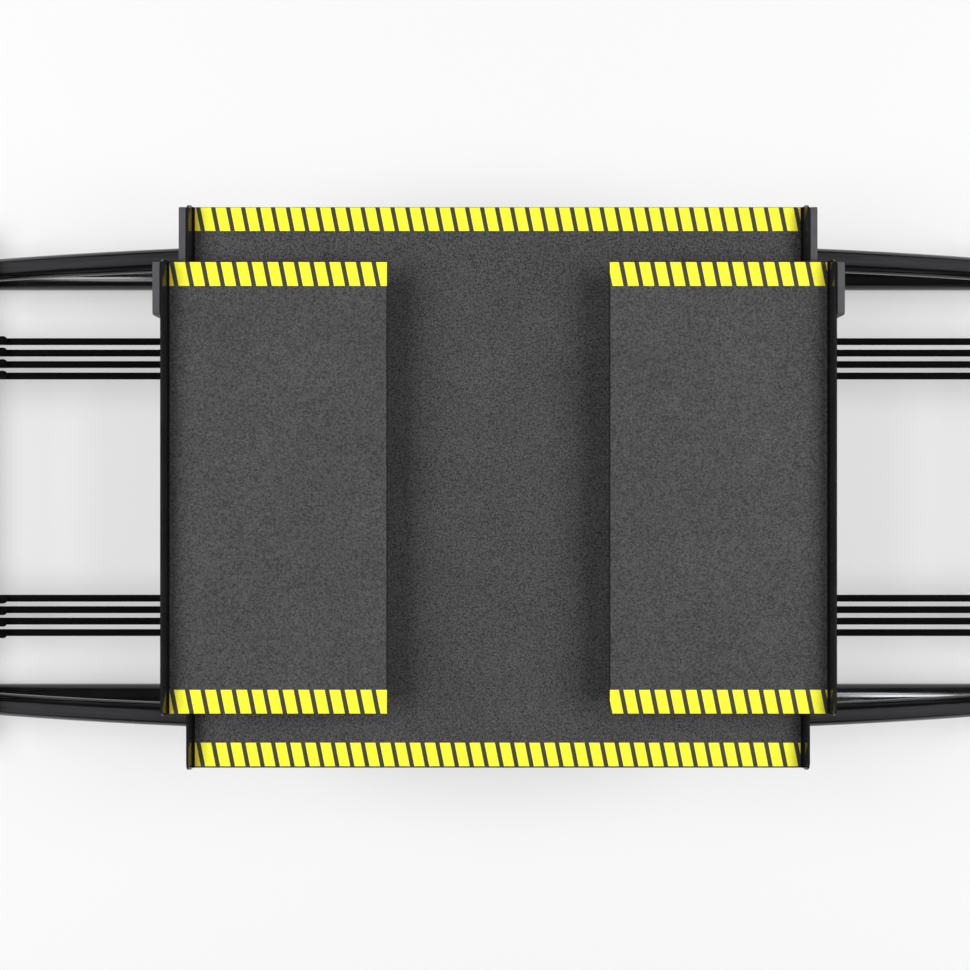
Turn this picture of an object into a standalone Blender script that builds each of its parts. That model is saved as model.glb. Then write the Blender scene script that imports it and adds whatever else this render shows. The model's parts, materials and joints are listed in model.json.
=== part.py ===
"""Ski simulator: a deck on four-roller trucks that swings along two arched rails.

Metres, +Z up. X is the way the deck travels and +Y is the rear. The origin is on the
floor under the middle. Everything stands at rest: the carriage at the top of the arch
and both foot platforms level. Run it with blender --background --python part.py.
"""

import math

import bmesh
import bpy
from mathutils import Matrix, Vector

# Clearances
SEAT_GAP = 0.0003  # between two pieces that rest on each other
BORE_GAP = 0.0003  # between a shaft and the bore round it

# Sides of round pieces
PIN_SIDES = 16
WHEEL_SIDES = 24
TUBE_SIDES = 24

# Floor frame: round tubes between square crossbars in rubber end boots
TUBE = 0.032
TUBE_WALL = 0.002
TUBE_CORNER = 0.004
BOOT_SOLE = 0.005
BOOT_WALL = 0.003
BOOT_GRIP = 0.033  # length of crossbar inside a boot
BASE_TUBE_LENGTH = 1.280
CROSSBAR_REACH = 0.0533  # of the crossbars past the middle of each rail

# Arched rails: a round pipe with a flat bar welded under it, on one arc
RAIL_INSET = 0.0333  # from the deck's front or rear edge to a rail's middle
RAIL_END_INSET = 0.029557  # from a floor tube's end to the rail's end
RAIL_TOP = 0.155
RAIL_DIAMETER = 0.026
RAIL_WALL = 0.002
STRIP_WIDTH = 0.014
STRIP_THICKNESS = 0.002  # that shows below the pipe
RAIL_STEPS = 28
STOP_LENGTH = 0.03477  # of an end stop along the rail
STOP_HEIGHT = 0.024  # of the end stops above the rail
STOP_WIDTH = 0.028
STOP_CORNER = 0.005

# Elastic cords and their anchors
CORD_DIAMETER = 0.0082
CORD_HEIGHT = 0.060
CORD_PITCH = 0.01355
CORDS_IN_BUNDLE = 4
BUNDLE_INSET = 0.1049  # from a rail's middle to the middle of a bundle
ROD_RADIUS = 0.005
ROD_INSET = 0.0063  # from a crossbar's middle to its rod
ROD_HEAD_RADIUS = 0.009
ROD_HEAD = 0.004
CORD_TAIL = 0.075  # folded back from the rod's middle to the tail's end
LUG_THICKNESS = 0.006
LUG_RADIUS = 0.011
LUG_SINK = 0.001  # into the crossbar's wall
LUG_TO_CORD = 0.0026

# Deck
DECK_RISE = 0.050  # above the rails' top
DECK_WIDTH = 0.631  # between the side flanges
DECK_DEPTH = 0.580
DECK_FLANGE = 0.0152
DECK_LIP = 0.024
SHEET = 0.0025
BEND = 0.002
FLANGE_TIP = 0.008
CORNER_PLATE = 0.0066
CORNER_PLATE_HEIGHT = 0.024
CORNER_PLATE_TIP = 0.003
CORNER_PLATE_RISE = 0.002  # above the flange's top
DECK_PLATE_LENGTH = 0.055
DECK_PLATE_INSET = 0.004

# Trucks and rollers under the deck
TRUCK_INNER = 0.030
TRUCK_SHEET = 0.004
TRUCK_LENGTH = 0.432
TRUCK_SIDE_DROP = 0.055  # from the deck's underside to the lower edge of the side plates
TRUCK_BEND = 0.002
TRUCK_END_GAP = 0.0035  # from the end plates to the rail
UPPER_ROLLER_INSET = 0.036  # from a truck's end to its upper roller
UPPER_ROLLER_RADIUS = 0.017
UPPER_ROLLER_WIDTH = 0.026
ROLLER_FLANGE = 0.004  # how far the upper roller's flanges reach past the middle of its tread
ROLLER_CHORD = 0.0001  # that the flats of the hollow tread come nearer to the pipe
LOWER_ROLLER_INSET = 0.086
LOWER_ROLLER_RADIUS = 0.010
LOWER_ROLLER_WIDTH = 0.024
LOBE_RADIUS = 0.013
LOBE_SHOULDER = 0.035
AXLE_RADIUS = 0.004
AXLE_HEAD_RADIUS = 0.0075
AXLE_HEAD = 0.005

# Ties and cord clamp under the deck
TIE_X = 0.110
TIE_WIDTH = 0.030
TIE_HEIGHT = 0.025
CLAMP_LENGTH = 0.028
CLAMP_UPPER = 0.012
CLAMP_LOWER = 0.010
CLAMP_MARGIN = 0.008  # of the bars past the outer cords
HANGER_WEB = 0.006
HANGER_FOOT_WIDTH = 0.200
HANGER_FOOT_LENGTH = 0.056
HANGER_FOOT_THICKNESS = 0.006

# Foot platforms on their pivots
FOOT_RISE = 0.039  # above the deck's top
FOOT_OVERHANG = 0.0135  # of the side flange's inner face past the deck's
FOOT_WIDTH = 0.218
FOOT_STEP_BACK = 0.065  # from the deck's front or rear edge
FOOT_FLANGE = 0.0152
FOOT_LIP = 0.012
FOOT_END_LIP_INSET = 0.0155  # where the front and rear lips end, clear of the deck's flange
FOOT_PLATE_LENGTH = 0.052
FOOT_PLATE_INSET = 0.004
PIVOT_DROP = 0.020  # below the platform's top
SHAFT_RADIUS = 0.006
SHAFT_COLLAR_RADIUS = 0.010
SHAFT_COLLAR = 0.005
HINGE_TUBE_RADIUS = 0.0095
HINGE_INSET = 0.075  # from a platform's front or rear edge to its hinge tube and cushions
HINGE_RIB = 0.006
BLOCK_THICKNESS = 0.016
BLOCK_GAP = 0.002
BLOCK_FOOT = 0.052
BLOCK_RADIUS = 0.012
BLOCK_BASE = 0.006
CUSHION_OFFSET = 0.064  # of each rubber cushion from the pivot
CUSHION_WIDTH = 0.024
CUSHION_CORNER = 0.005

# Worked out from the sizes above
TUBE_MIDDLE = BOOT_SOLE + TUBE / 2
TUBE_TOP = BOOT_SOLE + TUBE
RAIL_Y = DECK_DEPTH / 2 - RAIL_INSET
CROSSBAR_LENGTH = 2 * (RAIL_Y + CROSSBAR_REACH)
CROSSBAR_X = BASE_TUBE_LENGTH / 2 + SEAT_GAP + TUBE / 2
RAIL_END_X = BASE_TUBE_LENGTH / 2 - RAIL_END_INSET
RAIL_RISE = RAIL_TOP - RAIL_DIAMETER - STRIP_THICKNESS - TUBE_TOP - SEAT_GAP
STRIP_RADIUS = (RAIL_END_X**2 + RAIL_RISE**2) / (2 * RAIL_RISE)  # to the flat bar's underside
RAIL_RADIUS = STRIP_RADIUS + STRIP_THICKNESS + RAIL_DIAMETER  # to the top of the pipe
ARC_Z = RAIL_TOP - RAIL_RADIUS
RAIL_END = math.asin(RAIL_END_X / STRIP_RADIUS)
STOP_ANGLE = RAIL_END - STOP_LENGTH / RAIL_RADIUS  # where the rubber of the end stops begins
ROD_X = CROSSBAR_X - ROD_INSET
BUNDLE_Y = RAIL_Y - BUNDLE_INSET
DECK_TOP = RAIL_TOP + DECK_RISE
DECK_UNDER = DECK_TOP - SHEET
CARRIED = DECK_UNDER - SEAT_GAP  # top of what is fixed under the deck
TRUCK_HALF = TRUCK_LENGTH / 2
TRUCK_OUTER = TRUCK_INNER / 2 + TRUCK_SHEET
UPPER_ROLLER_X = TRUCK_HALF - UPPER_ROLLER_INSET
LOWER_ROLLER_X = TRUCK_HALF - LOWER_ROLLER_INSET
FOOT_TOP = DECK_TOP + FOOT_RISE
FOOT_UNDER = FOOT_TOP - SHEET
FOOT_OUTER_X = DECK_WIDTH / 2 + FOOT_OVERHANG  # inner face of the side flange
FOOT_INNER_X = FOOT_OUTER_X - FOOT_WIDTH
FOOT_END_LIP_X = DECK_WIDTH / 2 - FOOT_END_LIP_INSET
FOOT_DEPTH = DECK_DEPTH - 2 * FOOT_STEP_BACK
PIVOT_X = (FOOT_INNER_X + FOOT_OUTER_X) / 2
PIVOT_HEIGHT = FOOT_TOP - PIVOT_DROP
HINGE_TUBE_LENGTH = CUSHION_LENGTH = FOOT_DEPTH - 2 * HINGE_INSET
CORD_RADIUS = CORD_DIAMETER / 2
ROD_Z = CORD_HEIGHT + CORD_RADIUS + BORE_GAP + ROD_RADIUS
BUNDLE_HALF = (CORDS_IN_BUNDLE - 1) / 2 * CORD_PITCH + CORD_RADIUS
LEFT_RIGHT = (("left", -1), ("right", 1))
REAR_FRONT = (("rear", 1), ("front", -1))
ALONG_Y = Matrix.Rotation(math.radians(-90), 4, "X")
FLAT_TO_XZ = Matrix.Rotation(math.radians(90), 4, "X")
FLAT_TO_YZ = Matrix(((0, 0, 1, 0), (1, 0, 0, 0), (0, 1, 0, 0), (0, 0, 0, 1)))


def clear_scene():
    for old in list(bpy.data.objects):
        bpy.data.objects.remove(old, do_unlink=True)


def new_collection(name):
    made = bpy.data.collections.new(name)
    bpy.context.scene.collection.children.link(made)
    return made


def paint(name, colour, roughness, metallic=0.0):
    made = bpy.data.materials.new(name)
    made.use_nodes = True
    shader = made.node_tree.nodes["Principled BSDF"]
    shader.inputs["Base Color"].default_value = (*colour, 1.0)
    shader.inputs["Roughness"].default_value = roughness
    shader.inputs["Metallic"].default_value = metallic
    return made


def into(collection, piece):
    """Puts an object in one collection alone."""
    for other in list(piece.users_collection):
        other.objects.unlink(piece)
    collection.objects.link(piece)
    return piece


def helper(piece):
    """Marks a cutter or a joined shape, which is no piece of its own."""
    piece.hide_render = True
    piece.display_type = "WIRE"
    return into(helpers, piece)


def finish(piece, name, material, parent=None):
    """Names a piece, gives it its finish and hangs it on the empty it moves with."""
    piece.name = name
    piece.data.materials.clear()
    piece.data.materials.append(material)
    into(pieces, piece)
    if piece.type == "MESH":
        piece.data.shade_smooth()
        piece.data.set_sharp_from_angle(angle=math.radians(35))
    if parent:
        bpy.context.view_layer.update()
        piece.parent = parent
        piece.matrix_parent_inverse = parent.matrix_world.inverted()
    return piece


def joint_empty(name, place, parent=None):
    """An empty on a joint's axis. What moves with the joint is parented to it."""
    made = bpy.data.objects.new(name, None)
    pieces.objects.link(made)
    made.empty_display_size = 0.03
    made.location = place
    bpy.context.view_layer.update()
    if parent:
        made.parent = parent
        made.matrix_parent_inverse = parent.matrix_world.inverted()
        bpy.context.view_layer.update()
    return made


def box(low, high):
    """A box from its lowest to its highest corner."""
    low, high = Vector(low), Vector(high)
    bpy.ops.mesh.primitive_cube_add(size=1, location=(low + high) / 2)
    made = bpy.context.object
    made.scale = high - low
    bpy.ops.object.transform_apply(location=False, rotation=False, scale=True)
    return made


def cylinder(radius, length, place, sides=PIN_SIDES):
    """A cylinder along Y, centred on a place."""
    bpy.ops.mesh.primitive_cylinder_add(
        radius=radius, depth=length, vertices=sides, location=place, rotation=(math.pi / 2, 0, 0)
    )
    made = bpy.context.object
    bpy.ops.object.transform_apply(location=False, rotation=True, scale=False)
    return made


def bevel(piece, width, segments=2):
    """Rounds the piece's edges, where its faces meet at more than 30 degrees."""
    made = piece.modifiers.new("Bevel", "BEVEL")
    made.width = width
    made.segments = segments
    made.limit_method = "ANGLE"
    made.angle_limit = math.radians(30)
    return piece


def combine(piece, other, operation):
    made = piece.modifiers.new(operation.title(), "BOOLEAN")
    made.operation = operation
    made.object = helper(other)
    return piece


def cut(piece, cutter):
    return combine(piece, cutter, "DIFFERENCE")


def join(piece, other):
    return combine(piece, other, "UNION")


def as_mesh(curve):
    """The curve's shape as a mesh object, so that it can be cut or joined."""
    bpy.context.view_layer.update()
    graph = bpy.context.evaluated_depsgraph_get()
    mesh = bpy.data.meshes.new_from_object(curve.evaluated_get(graph))
    welding = bmesh.new()
    welding.from_mesh(mesh)
    bmesh.ops.remove_doubles(welding, verts=welding.verts, dist=1e-6)
    welding.to_mesh(mesh)
    welding.free()
    made = bpy.data.objects.new(curve.name, mesh)
    bpy.context.scene.collection.objects.link(made)
    made.matrix_world = curve.matrix_world
    bpy.data.objects.remove(curve, do_unlink=True)
    return made


def flat_outline(outlines, thickness, plane, place):
    """A plate cut to closed outlines, the first its rim and the rest its holes.

    The plane is "XZ" for outline points (x, z) with the thickness along Y, or "YZ" for
    points (y, z) with the thickness along X. The place is the middle of the thickness.
    """
    curve = bpy.data.curves.new("outline", "CURVE")
    curve.dimensions = "2D"
    curve.fill_mode = "BOTH"
    curve.extrude = thickness / 2
    for points in outlines:
        spline = curve.splines.new("POLY")
        spline.points.add(len(points) - 1)
        for point, (a, b) in zip(spline.points, points):
            point.co = (a, b, 0, 1)
        spline.use_cyclic_u = True
    made = bpy.data.objects.new("outline", curve)
    bpy.context.scene.collection.objects.link(made)
    turn = FLAT_TO_XZ if plane == "XZ" else FLAT_TO_YZ
    made.matrix_world = Matrix.Translation(place) @ turn
    return as_mesh(made)


def arc(centre, radius, start, end, steps):
    """Points on a circle from one angle to another, in degrees, both ends kept."""
    angles = [math.radians(start + (end - start) * i / steps) for i in range(steps + 1)]
    return [(centre[0] + radius * math.cos(a), centre[1] + radius * math.sin(a)) for a in angles]


def round_hole(centre, radius):
    return arc(centre, radius, 0, 360, PIN_SIDES)[:-1]


def rounded_rectangle(centre, width, height, corner, steps=4):
    points = []
    for quarter, (sx, sy) in enumerate(((1, 1), (-1, 1), (-1, -1), (1, -1))):
        middle = (centre[0] + sx * (width / 2 - corner), centre[1] + sy * (height / 2 - corner))
        points += arc(middle, corner, 90 * quarter, 90 * quarter + 90, steps)
    return points


def bent_sheet(path, thickness, inner_radius, steps=4):
    """The outline of a folded sheet: path runs along its middle, square at each fold."""
    radius = inner_radius + thickness / 2
    path = [Vector(p) for p in path]
    middle = [(path[0], (path[1] - path[0]).normalized())]
    for before, corner, after in zip(path, path[1:], path[2:]):
        along, away = (corner - before).normalized(), (after - corner).normalized()
        centre = corner - along * radius + away * radius
        for i in range(steps + 1):
            turn = math.pi / 2 * i / steps
            point = centre - away * radius * math.cos(turn) + along * radius * math.sin(turn)
            middle.append((point, along * math.cos(turn) + away * math.sin(turn)))
    middle.append((path[-1], (path[-1] - path[-2]).normalized()))
    sides = []
    for sign in (1, -1):
        shift = sign * thickness / 2
        sides.append([(p.x - d.y * shift, p.y + d.x * shift) for p, d in middle])
    return sides[0] + sides[1][::-1]


def turned(profile, place, steps=PIN_SIDES, closed=False):
    """A shape turned about Y: profile points are (radius, y), from the highest y down."""
    mesh = bpy.data.meshes.new("turned")
    count = len(profile)
    edges = [(i, i + 1) for i in range(count - 1)] + ([(count - 1, 0)] if closed else [])
    mesh.from_pydata([(radius, 0, along) for radius, along in profile], edges, [])
    made = bpy.data.objects.new("turned", mesh)
    bpy.context.scene.collection.objects.link(made)
    made.matrix_world = Matrix.Translation(place) @ ALONG_Y
    screw = made.modifiers.new("Screw", "SCREW")
    screw.axis = "Z"
    screw.steps = screw.render_steps = steps
    screw.use_merge_vertices = True
    screw.merge_threshold = 1e-5
    return made


def rail_height(x, radius=RAIL_RADIUS):
    """The height at x of the arc with this radius about the rails' common centre."""
    return ARC_Z + math.sqrt(radius * radius - x * x)


def on_arc(radius, angle):
    """The point (x, z) at this radius, turned by angle from straight up, to +X."""
    return radius * math.sin(angle), ARC_Z + radius * math.cos(angle)


def base_tube(rear):
    """A round floor tube, along X."""
    rim = arc((0, 0), TUBE / 2, 0, 360, TUBE_SIDES)[:-1]
    hole = arc((0, 0), TUBE / 2 - TUBE_WALL, 0, 360, TUBE_SIDES)[:-1]
    return flat_outline([rim, hole], BASE_TUBE_LENGTH, "YZ", (0, rear * RAIL_Y, TUBE_MIDDLE))


def swept_rail(outline, rear, end_angle):
    """A filled (y, z) outline swept about the rails' centre, both ways from the middle."""
    section = flat_outline([outline], 0, "YZ", (0, rear * RAIL_Y, 0))
    section.data.transform(section.matrix_world)
    section.matrix_world = Matrix.Identity(4)
    sweep = bmesh.new()
    sweep.from_mesh(section.data)
    centre = (0, 0, ARC_Z)
    bmesh.ops.rotate(
        sweep, verts=sweep.verts, cent=centre, matrix=Matrix.Rotation(-end_angle, 3, "Y")
    )
    bmesh.ops.spin(
        sweep,
        geom=sweep.verts[:] + sweep.edges[:] + sweep.faces[:],
        cent=centre,
        axis=(0, 1, 0),
        angle=2 * end_angle,
        steps=RAIL_STEPS,
    )
    bmesh.ops.recalc_face_normals(sweep, faces=sweep.faces)
    sweep.to_mesh(section.data)
    sweep.free()
    return section


def arch_rail(rear):
    """The rail's round pipe and the flat bar under it, welded along their length."""
    radius, ledge = RAIL_DIAMETER / 2, STRIP_WIDTH / 2
    middle, under = RAIL_TOP - radius, ARC_Z + STRIP_RADIUS
    seam = math.degrees(math.acos(ledge / radius))
    outline = [(-ledge, under), (ledge, under)]
    outline += arc((0, middle), radius, -seam, 180 + seam, TUBE_SIDES * 3 // 4)
    rail = swept_rail(outline, rear, RAIL_END)
    bore = arc((0, middle), radius - RAIL_WALL, 0, 360, TUBE_SIDES // 2)[:-1]
    past_the_end = math.radians(0.5)
    return cut(rail, swept_rail(bore, rear, RAIL_END + past_the_end))


def lug_places():
    """The y of each lug on a crossbar: one on each side of each bundle of cords."""
    reach = BUNDLE_HALF + LUG_TO_CORD + LUG_THICKNESS / 2
    return [rear * (BUNDLE_Y + side * reach) for _, rear in REAR_FRONT for side in (-1, 1)]


def crossbar(right):
    """A square tube across the end of the frame, with upright lugs that hold the rod."""
    x, inner = right * CROSSBAR_X, TUBE - 2 * TUBE_WALL
    rim = rounded_rectangle((0, 0), TUBE, TUBE, TUBE_CORNER)
    hole = rounded_rectangle((0, 0), inner, inner, TUBE_CORNER - TUBE_WALL)
    bar = flat_outline([rim, hole], CROSSBAR_LENGTH, "XZ", (x, 0, TUBE_MIDDLE))
    rod = (right * ROD_X, ROD_Z)
    foot = TUBE / 2 - TUBE_CORNER
    low = TUBE_TOP - LUG_SINK
    rim = [(x - foot, low), (x + foot, low)] + arc(rod, LUG_RADIUS, 0, 180, 8)
    hole = round_hole(rod, ROD_RADIUS + BORE_GAP)
    for y in lug_places():
        join(bar, flat_outline([rim, hole], LUG_THICKNESS, "XZ", (0, y, 0)))
    return bar


def anchor_rod(right):
    """A rod with a head at each end, through the lugs of one crossbar."""
    half = max(lug_places()) + LUG_THICKNESS / 2 + SEAT_GAP
    head = half + ROD_HEAD
    profile = [(0, head), (ROD_HEAD_RADIUS, head), (ROD_HEAD_RADIUS, half), (ROD_RADIUS, half)]
    profile += [(radius, -along) for radius, along in reversed(profile)]
    return turned(profile, (right * ROD_X, 0, ROD_Z))


def foot_boot(right, rear):
    """A rubber boot over the end of a crossbar. Its sole stands on the floor."""
    end = CROSSBAR_LENGTH / 2
    x = right * CROSSBAR_X
    reach = TUBE / 2 + BOOT_WALL
    inner_y, outer_y = sorted((rear * (end - BOOT_GRIP), rear * (end + BOOT_WALL)))
    boot = bevel(
        box((x - reach, inner_y, 0), (x + reach, outer_y, TUBE_TOP + BOOT_WALL)), BOOT_WALL / 2
    )
    hold = TUBE / 2 + SEAT_GAP
    low_y, high_y = sorted((rear * (end - 2 * BOOT_GRIP), rear * (end + SEAT_GAP)))
    pocket = box((x - hold, low_y, BOOT_SOLE - SEAT_GAP), (x + hold, high_y, TUBE_TOP + SEAT_GAP))
    return cut(boot, pocket)


def end_stop(right, rear):
    """A rubber buffer that caps a rail's end and stands on the floor tube behind it."""
    width = STOP_WIDTH
    seat = RAIL_RADIUS + SEAT_GAP
    steps = 4
    angles = [STOP_ANGLE + (RAIL_END - STOP_ANGLE) * i / steps for i in range(steps + 1)]
    over_rail = [on_arc(seat, angle) for angle in angles]
    past = SEAT_GAP / STRIP_RADIUS
    end_top = on_arc(seat, RAIL_END + past)
    end_foot = on_arc(STRIP_RADIUS, RAIL_END + past)
    back = BASE_TUBE_LENGTH / 2 - SEAT_GAP
    crest = on_arc(RAIL_RADIUS + STOP_HEIGHT, STOP_ANGLE)
    slope_end = (back, TUBE_TOP + SEAT_GAP + TUBE)
    profile = over_rail + [end_top, end_foot, (back, TUBE_TOP + SEAT_GAP), slope_end]
    profile += [(crest[0] + STOP_CORNER, crest[1]), (crest[0], crest[1] - STOP_CORNER)]
    outline = [(right * x, z) for x, z in profile]
    return bevel(flat_outline([outline], width, "XZ", (0, rear * RAIL_Y, 0)), SHEET / 2, 1)


def cord_route():
    """The cord's middle line as (x, z), from the left tail over both rods to the right tail.

    Each end goes round its rod from below and lies back on top of the straight run.
    """
    wrap = ROD_RADIUS + BORE_GAP + CORD_RADIUS
    stacked = CORD_HEIGHT + CORD_DIAMETER + SEAT_GAP
    around = [(ROD_X + x, ROD_Z + z) for x, z in arc((0, 0), wrap, -90, 90, 8)]
    ease = 0.4 * CORD_TAIL
    drop = []
    for i in range(1, 5):
        share = i / 4
        height = ROD_Z + wrap + (stacked - ROD_Z - wrap) * share * share * (3 - 2 * share)
        drop.append((ROD_X - ease * share, height))
    tail = [(ROD_X - CORD_TAIL, stacked)]
    straight = [(ROD_X * i / 4, CORD_HEIGHT) for i in range(4)]
    half = straight + around + drop + tail
    return [(-x, z) for x, z in reversed(half[1:])] + half


def cord(y):
    curve = bpy.data.curves.new("cord", "CURVE")
    curve.dimensions = "3D"
    curve.bevel_depth = CORD_RADIUS
    curve.bevel_resolution = 2
    curve.use_fill_caps = True
    route = cord_route()
    spline = curve.splines.new("POLY")
    spline.points.add(len(route) - 1)
    for point, (x, z) in zip(spline.points, route):
        point.co = (x, 0, z, 1)
    made = bpy.data.objects.new("cord", curve)
    bpy.context.scene.collection.objects.link(made)
    made.location = (0, y, 0)
    return made


def tip_rounding(piece, radius, is_tip):
    """Rounds only the short edges at a flange's free corners."""
    mesh = piece.data
    weights = mesh.attributes.new("bevel_weight_edge", "FLOAT", "EDGE")
    for edge in mesh.edges:
        ends = [piece.matrix_world @ mesh.vertices[i].co for i in edge.vertices]
        if is_tip(*ends):
            weights.data[edge.index].value = 1.0
    made = piece.modifiers.new("Tips", "BEVEL")
    made.width = radius
    made.segments = 3
    made.limit_method = "WEIGHT"
    return piece


def at_height_and_end(height, half_depth):
    """A test for edges across a flange's thickness, at its free corners."""

    def test(a, b):
        near = 1e-5
        level = abs(a.z - height) < near and abs(b.z - height) < near
        at_end = abs(abs(a.y) - half_depth) < near and abs(a.y - b.y) < near
        return level and at_end

    return test


def deck_pan():
    """Folded sheet: a flat deck, up-turned sides and down-turned front and rear edges."""
    side = DECK_WIDTH / 2 + SHEET / 2
    middle, top = DECK_TOP - SHEET / 2, DECK_TOP + DECK_FLANGE
    path = [(-side, top), (-side, middle), (side, middle), (side, top)]
    pan = flat_outline([bent_sheet(path, SHEET, BEND)], DECK_DEPTH, "XZ", (0, 0, 0))
    tip_rounding(pan, FLANGE_TIP, at_height_and_end(top, DECK_DEPTH / 2))
    inset = SHEET / 10
    for _, rear in REAR_FRONT:
        edge = DECK_DEPTH / 2 - inset
        low_y, high_y = sorted((rear * (edge - SHEET), rear * edge))
        reach = DECK_WIDTH / 2 - BEND
        join(pan, box((-reach, low_y, DECK_TOP - DECK_LIP), (reach, high_y, middle)))
    return pan


def corner_plate(x_low, x_high, rear_y, length, flange_top):
    """A thick plate against the outside of a flange, with its corners rounded."""
    top = flange_top + CORNER_PLATE_RISE
    low_z = top - CORNER_PLATE_HEIGHT
    middle = (rear_y - length / 2, (top + low_z) / 2)
    outline = rounded_rectangle(middle, length, CORNER_PLATE_HEIGHT, CORNER_PLATE_TIP)
    return flat_outline([outline], x_high - x_low, "YZ", ((x_low + x_high) / 2, 0, 0))


def deck_corner_plate(right):
    inner = DECK_WIDTH / 2 + SHEET + SEAT_GAP
    x_low, x_high = sorted((right * inner, right * (inner + CORNER_PLATE)))
    rear_y = DECK_DEPTH / 2 - DECK_PLATE_INSET
    return corner_plate(x_low, x_high, rear_y, DECK_PLATE_LENGTH, DECK_TOP + DECK_FLANGE)


def foot_corner_plate(right):
    inner = FOOT_OUTER_X + SHEET + SEAT_GAP
    x_low, x_high = sorted((right * inner, right * (inner + CORNER_PLATE)))
    rear_y = FOOT_DEPTH / 2 - FOOT_PLATE_INSET
    return corner_plate(x_low, x_high, rear_y, FOOT_PLATE_LENGTH, FOOT_TOP + FOOT_FLANGE)


def lower_axis():
    """Where a hold-down roller turns, as (x, z): under the bar, at the lower roller's x."""
    radius = STRIP_RADIUS - SEAT_GAP - LOWER_ROLLER_RADIUS
    return LOWER_ROLLER_X, rail_height(LOWER_ROLLER_X, radius)


def upper_axis():
    radius = RAIL_RADIUS + SEAT_GAP + UPPER_ROLLER_RADIUS
    return UPPER_ROLLER_X, rail_height(UPPER_ROLLER_X, radius)


def truck_side_outline():
    """The space of a truck's side plates: a level lower edge, with a lobe at each lower roller.

    It reaches past the channel at the ends and the top, which it leaves as they are.
    """
    x, z = lower_axis()
    edge = CARRIED - TRUCK_SIDE_DROP
    end, top = TRUCK_HALF + TRUCK_SHEET, CARRIED + TRUCK_SHEET
    right_lobe = [(x - LOBE_SHOULDER, edge)] + arc((x, z), LOBE_RADIUS, 200, 340, 8)
    right_lobe += [(x + LOBE_SHOULDER, edge), (end, edge)]
    lower = [(-a, b) for a, b in reversed(right_lobe)] + right_lobe
    return lower + [(end, top), (-end, top)]


def truck(rear):
    """An inverted channel over the rail, with end plates and the lower rollers' pins."""
    y = rear * RAIL_Y
    length = TRUCK_LENGTH
    middle = TRUCK_INNER / 2 + TRUCK_SHEET / 2
    lower_x, lower_z = lower_axis()
    bottom = lower_z - 2 * LOBE_RADIUS
    web = CARRIED - TRUCK_SHEET / 2
    path = [(-middle, bottom), (-middle, web), (middle, web), (middle, bottom)]
    channel = flat_outline([bent_sheet(path, TRUCK_SHEET, TRUCK_BEND)], length, "YZ", (0, y, 0))
    keep = flat_outline([truck_side_outline()], 2 * TRUCK_OUTER + TRUCK_SHEET, "XZ", (0, y, 0))
    combine(channel, keep, "INTERSECT")
    grip = TRUCK_SHEET / 2  # how far plates and pins reach into the channel's walls
    inner = TRUCK_INNER / 2 + grip
    for right in (-1, 1):
        end = TRUCK_HALF - TRUCK_SHEET / 8
        x_low, x_high = sorted((right * (end - TRUCK_SHEET), right * end))
        foot = rail_height(TRUCK_HALF) + TRUCK_END_GAP
        join(channel, box((x_low, y - inner, foot), (x_high, y + inner, CARRIED - grip)))
        pin = cylinder(AXLE_RADIUS, 2 * inner, (right * lower_x, y, lower_z))
        join(channel, pin)
        axle_x, axle_z = upper_axis()
        hole = cylinder(AXLE_RADIUS + BORE_GAP, 3 * TRUCK_OUTER, (right * axle_x, y, axle_z))
        cut(channel, hole)
    return channel


def upper_axle(right, rear):
    """A headed pin through both side plates of a truck."""
    x, z = upper_axis()
    half = TRUCK_OUTER + SEAT_GAP
    head = half + AXLE_HEAD
    profile = [(0, head), (AXLE_HEAD_RADIUS, head), (AXLE_HEAD_RADIUS, half), (AXLE_RADIUS, half)]
    profile += [(radius, -along) for radius, along in reversed(profile)]
    return turned(profile, (right * x, rear * RAIL_Y, z))


def upper_roller(right, rear):
    """A running wheel hollowed to the rail's pipe, with a flange on each side."""
    x, z = upper_axis()
    bore, half = AXLE_RADIUS + BORE_GAP, UPPER_ROLLER_WIDTH / 2
    rim = UPPER_ROLLER_RADIUS + ROLLER_FLANGE
    hollow = RAIL_DIAMETER / 2 + SEAT_GAP + ROLLER_CHORD
    above = hollow + UPPER_ROLLER_RADIUS - ROLLER_CHORD  # of the axis over the pipe's middle
    reach = math.degrees(math.acos((above - rim) / hollow))
    profile = [(rim, half)]
    for angle in [reach * (1 - i / 4) for i in range(9)]:
        turn = math.radians(angle)
        profile.append((above - hollow * math.cos(turn), hollow * math.sin(turn)))
    profile = [(bore, half), *profile, (rim, -half), (bore, -half)]
    return turned(profile, (right * x, rear * RAIL_Y, z), WHEEL_SIDES, closed=True)


def lower_roller(right, rear):
    """A plain hold-down wheel under the rail's flat bar."""
    x, z = lower_axis()
    bore, tread, half = AXLE_RADIUS + BORE_GAP, LOWER_ROLLER_RADIUS, LOWER_ROLLER_WIDTH / 2
    chamfer = LOWER_ROLLER_RADIUS / 8
    profile = [(tread - chamfer, half), (tread, half - chamfer)]
    profile += [(radius, -along) for radius, along in reversed(profile)]
    profile = [(bore, half), *profile, (bore, -half)]
    return turned(profile, (right * x, rear * RAIL_Y, z), WHEEL_SIDES, closed=True)


def cross_tie(right):
    """A flat-sided tube under the deck, from truck to truck."""
    wall = TUBE_WALL
    length = 2 * (RAIL_Y - TRUCK_OUTER - SEAT_GAP)
    middle = (0, CARRIED - TIE_HEIGHT / 2)
    rim = rounded_rectangle(middle, TIE_WIDTH, TIE_HEIGHT, TUBE_CORNER)
    hole = rounded_rectangle(
        middle, TIE_WIDTH - 2 * wall, TIE_HEIGHT - 2 * wall, TUBE_CORNER - wall
    )
    return flat_outline([rim, hole], length, "XZ", (right * TIE_X, 0, 0))


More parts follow.
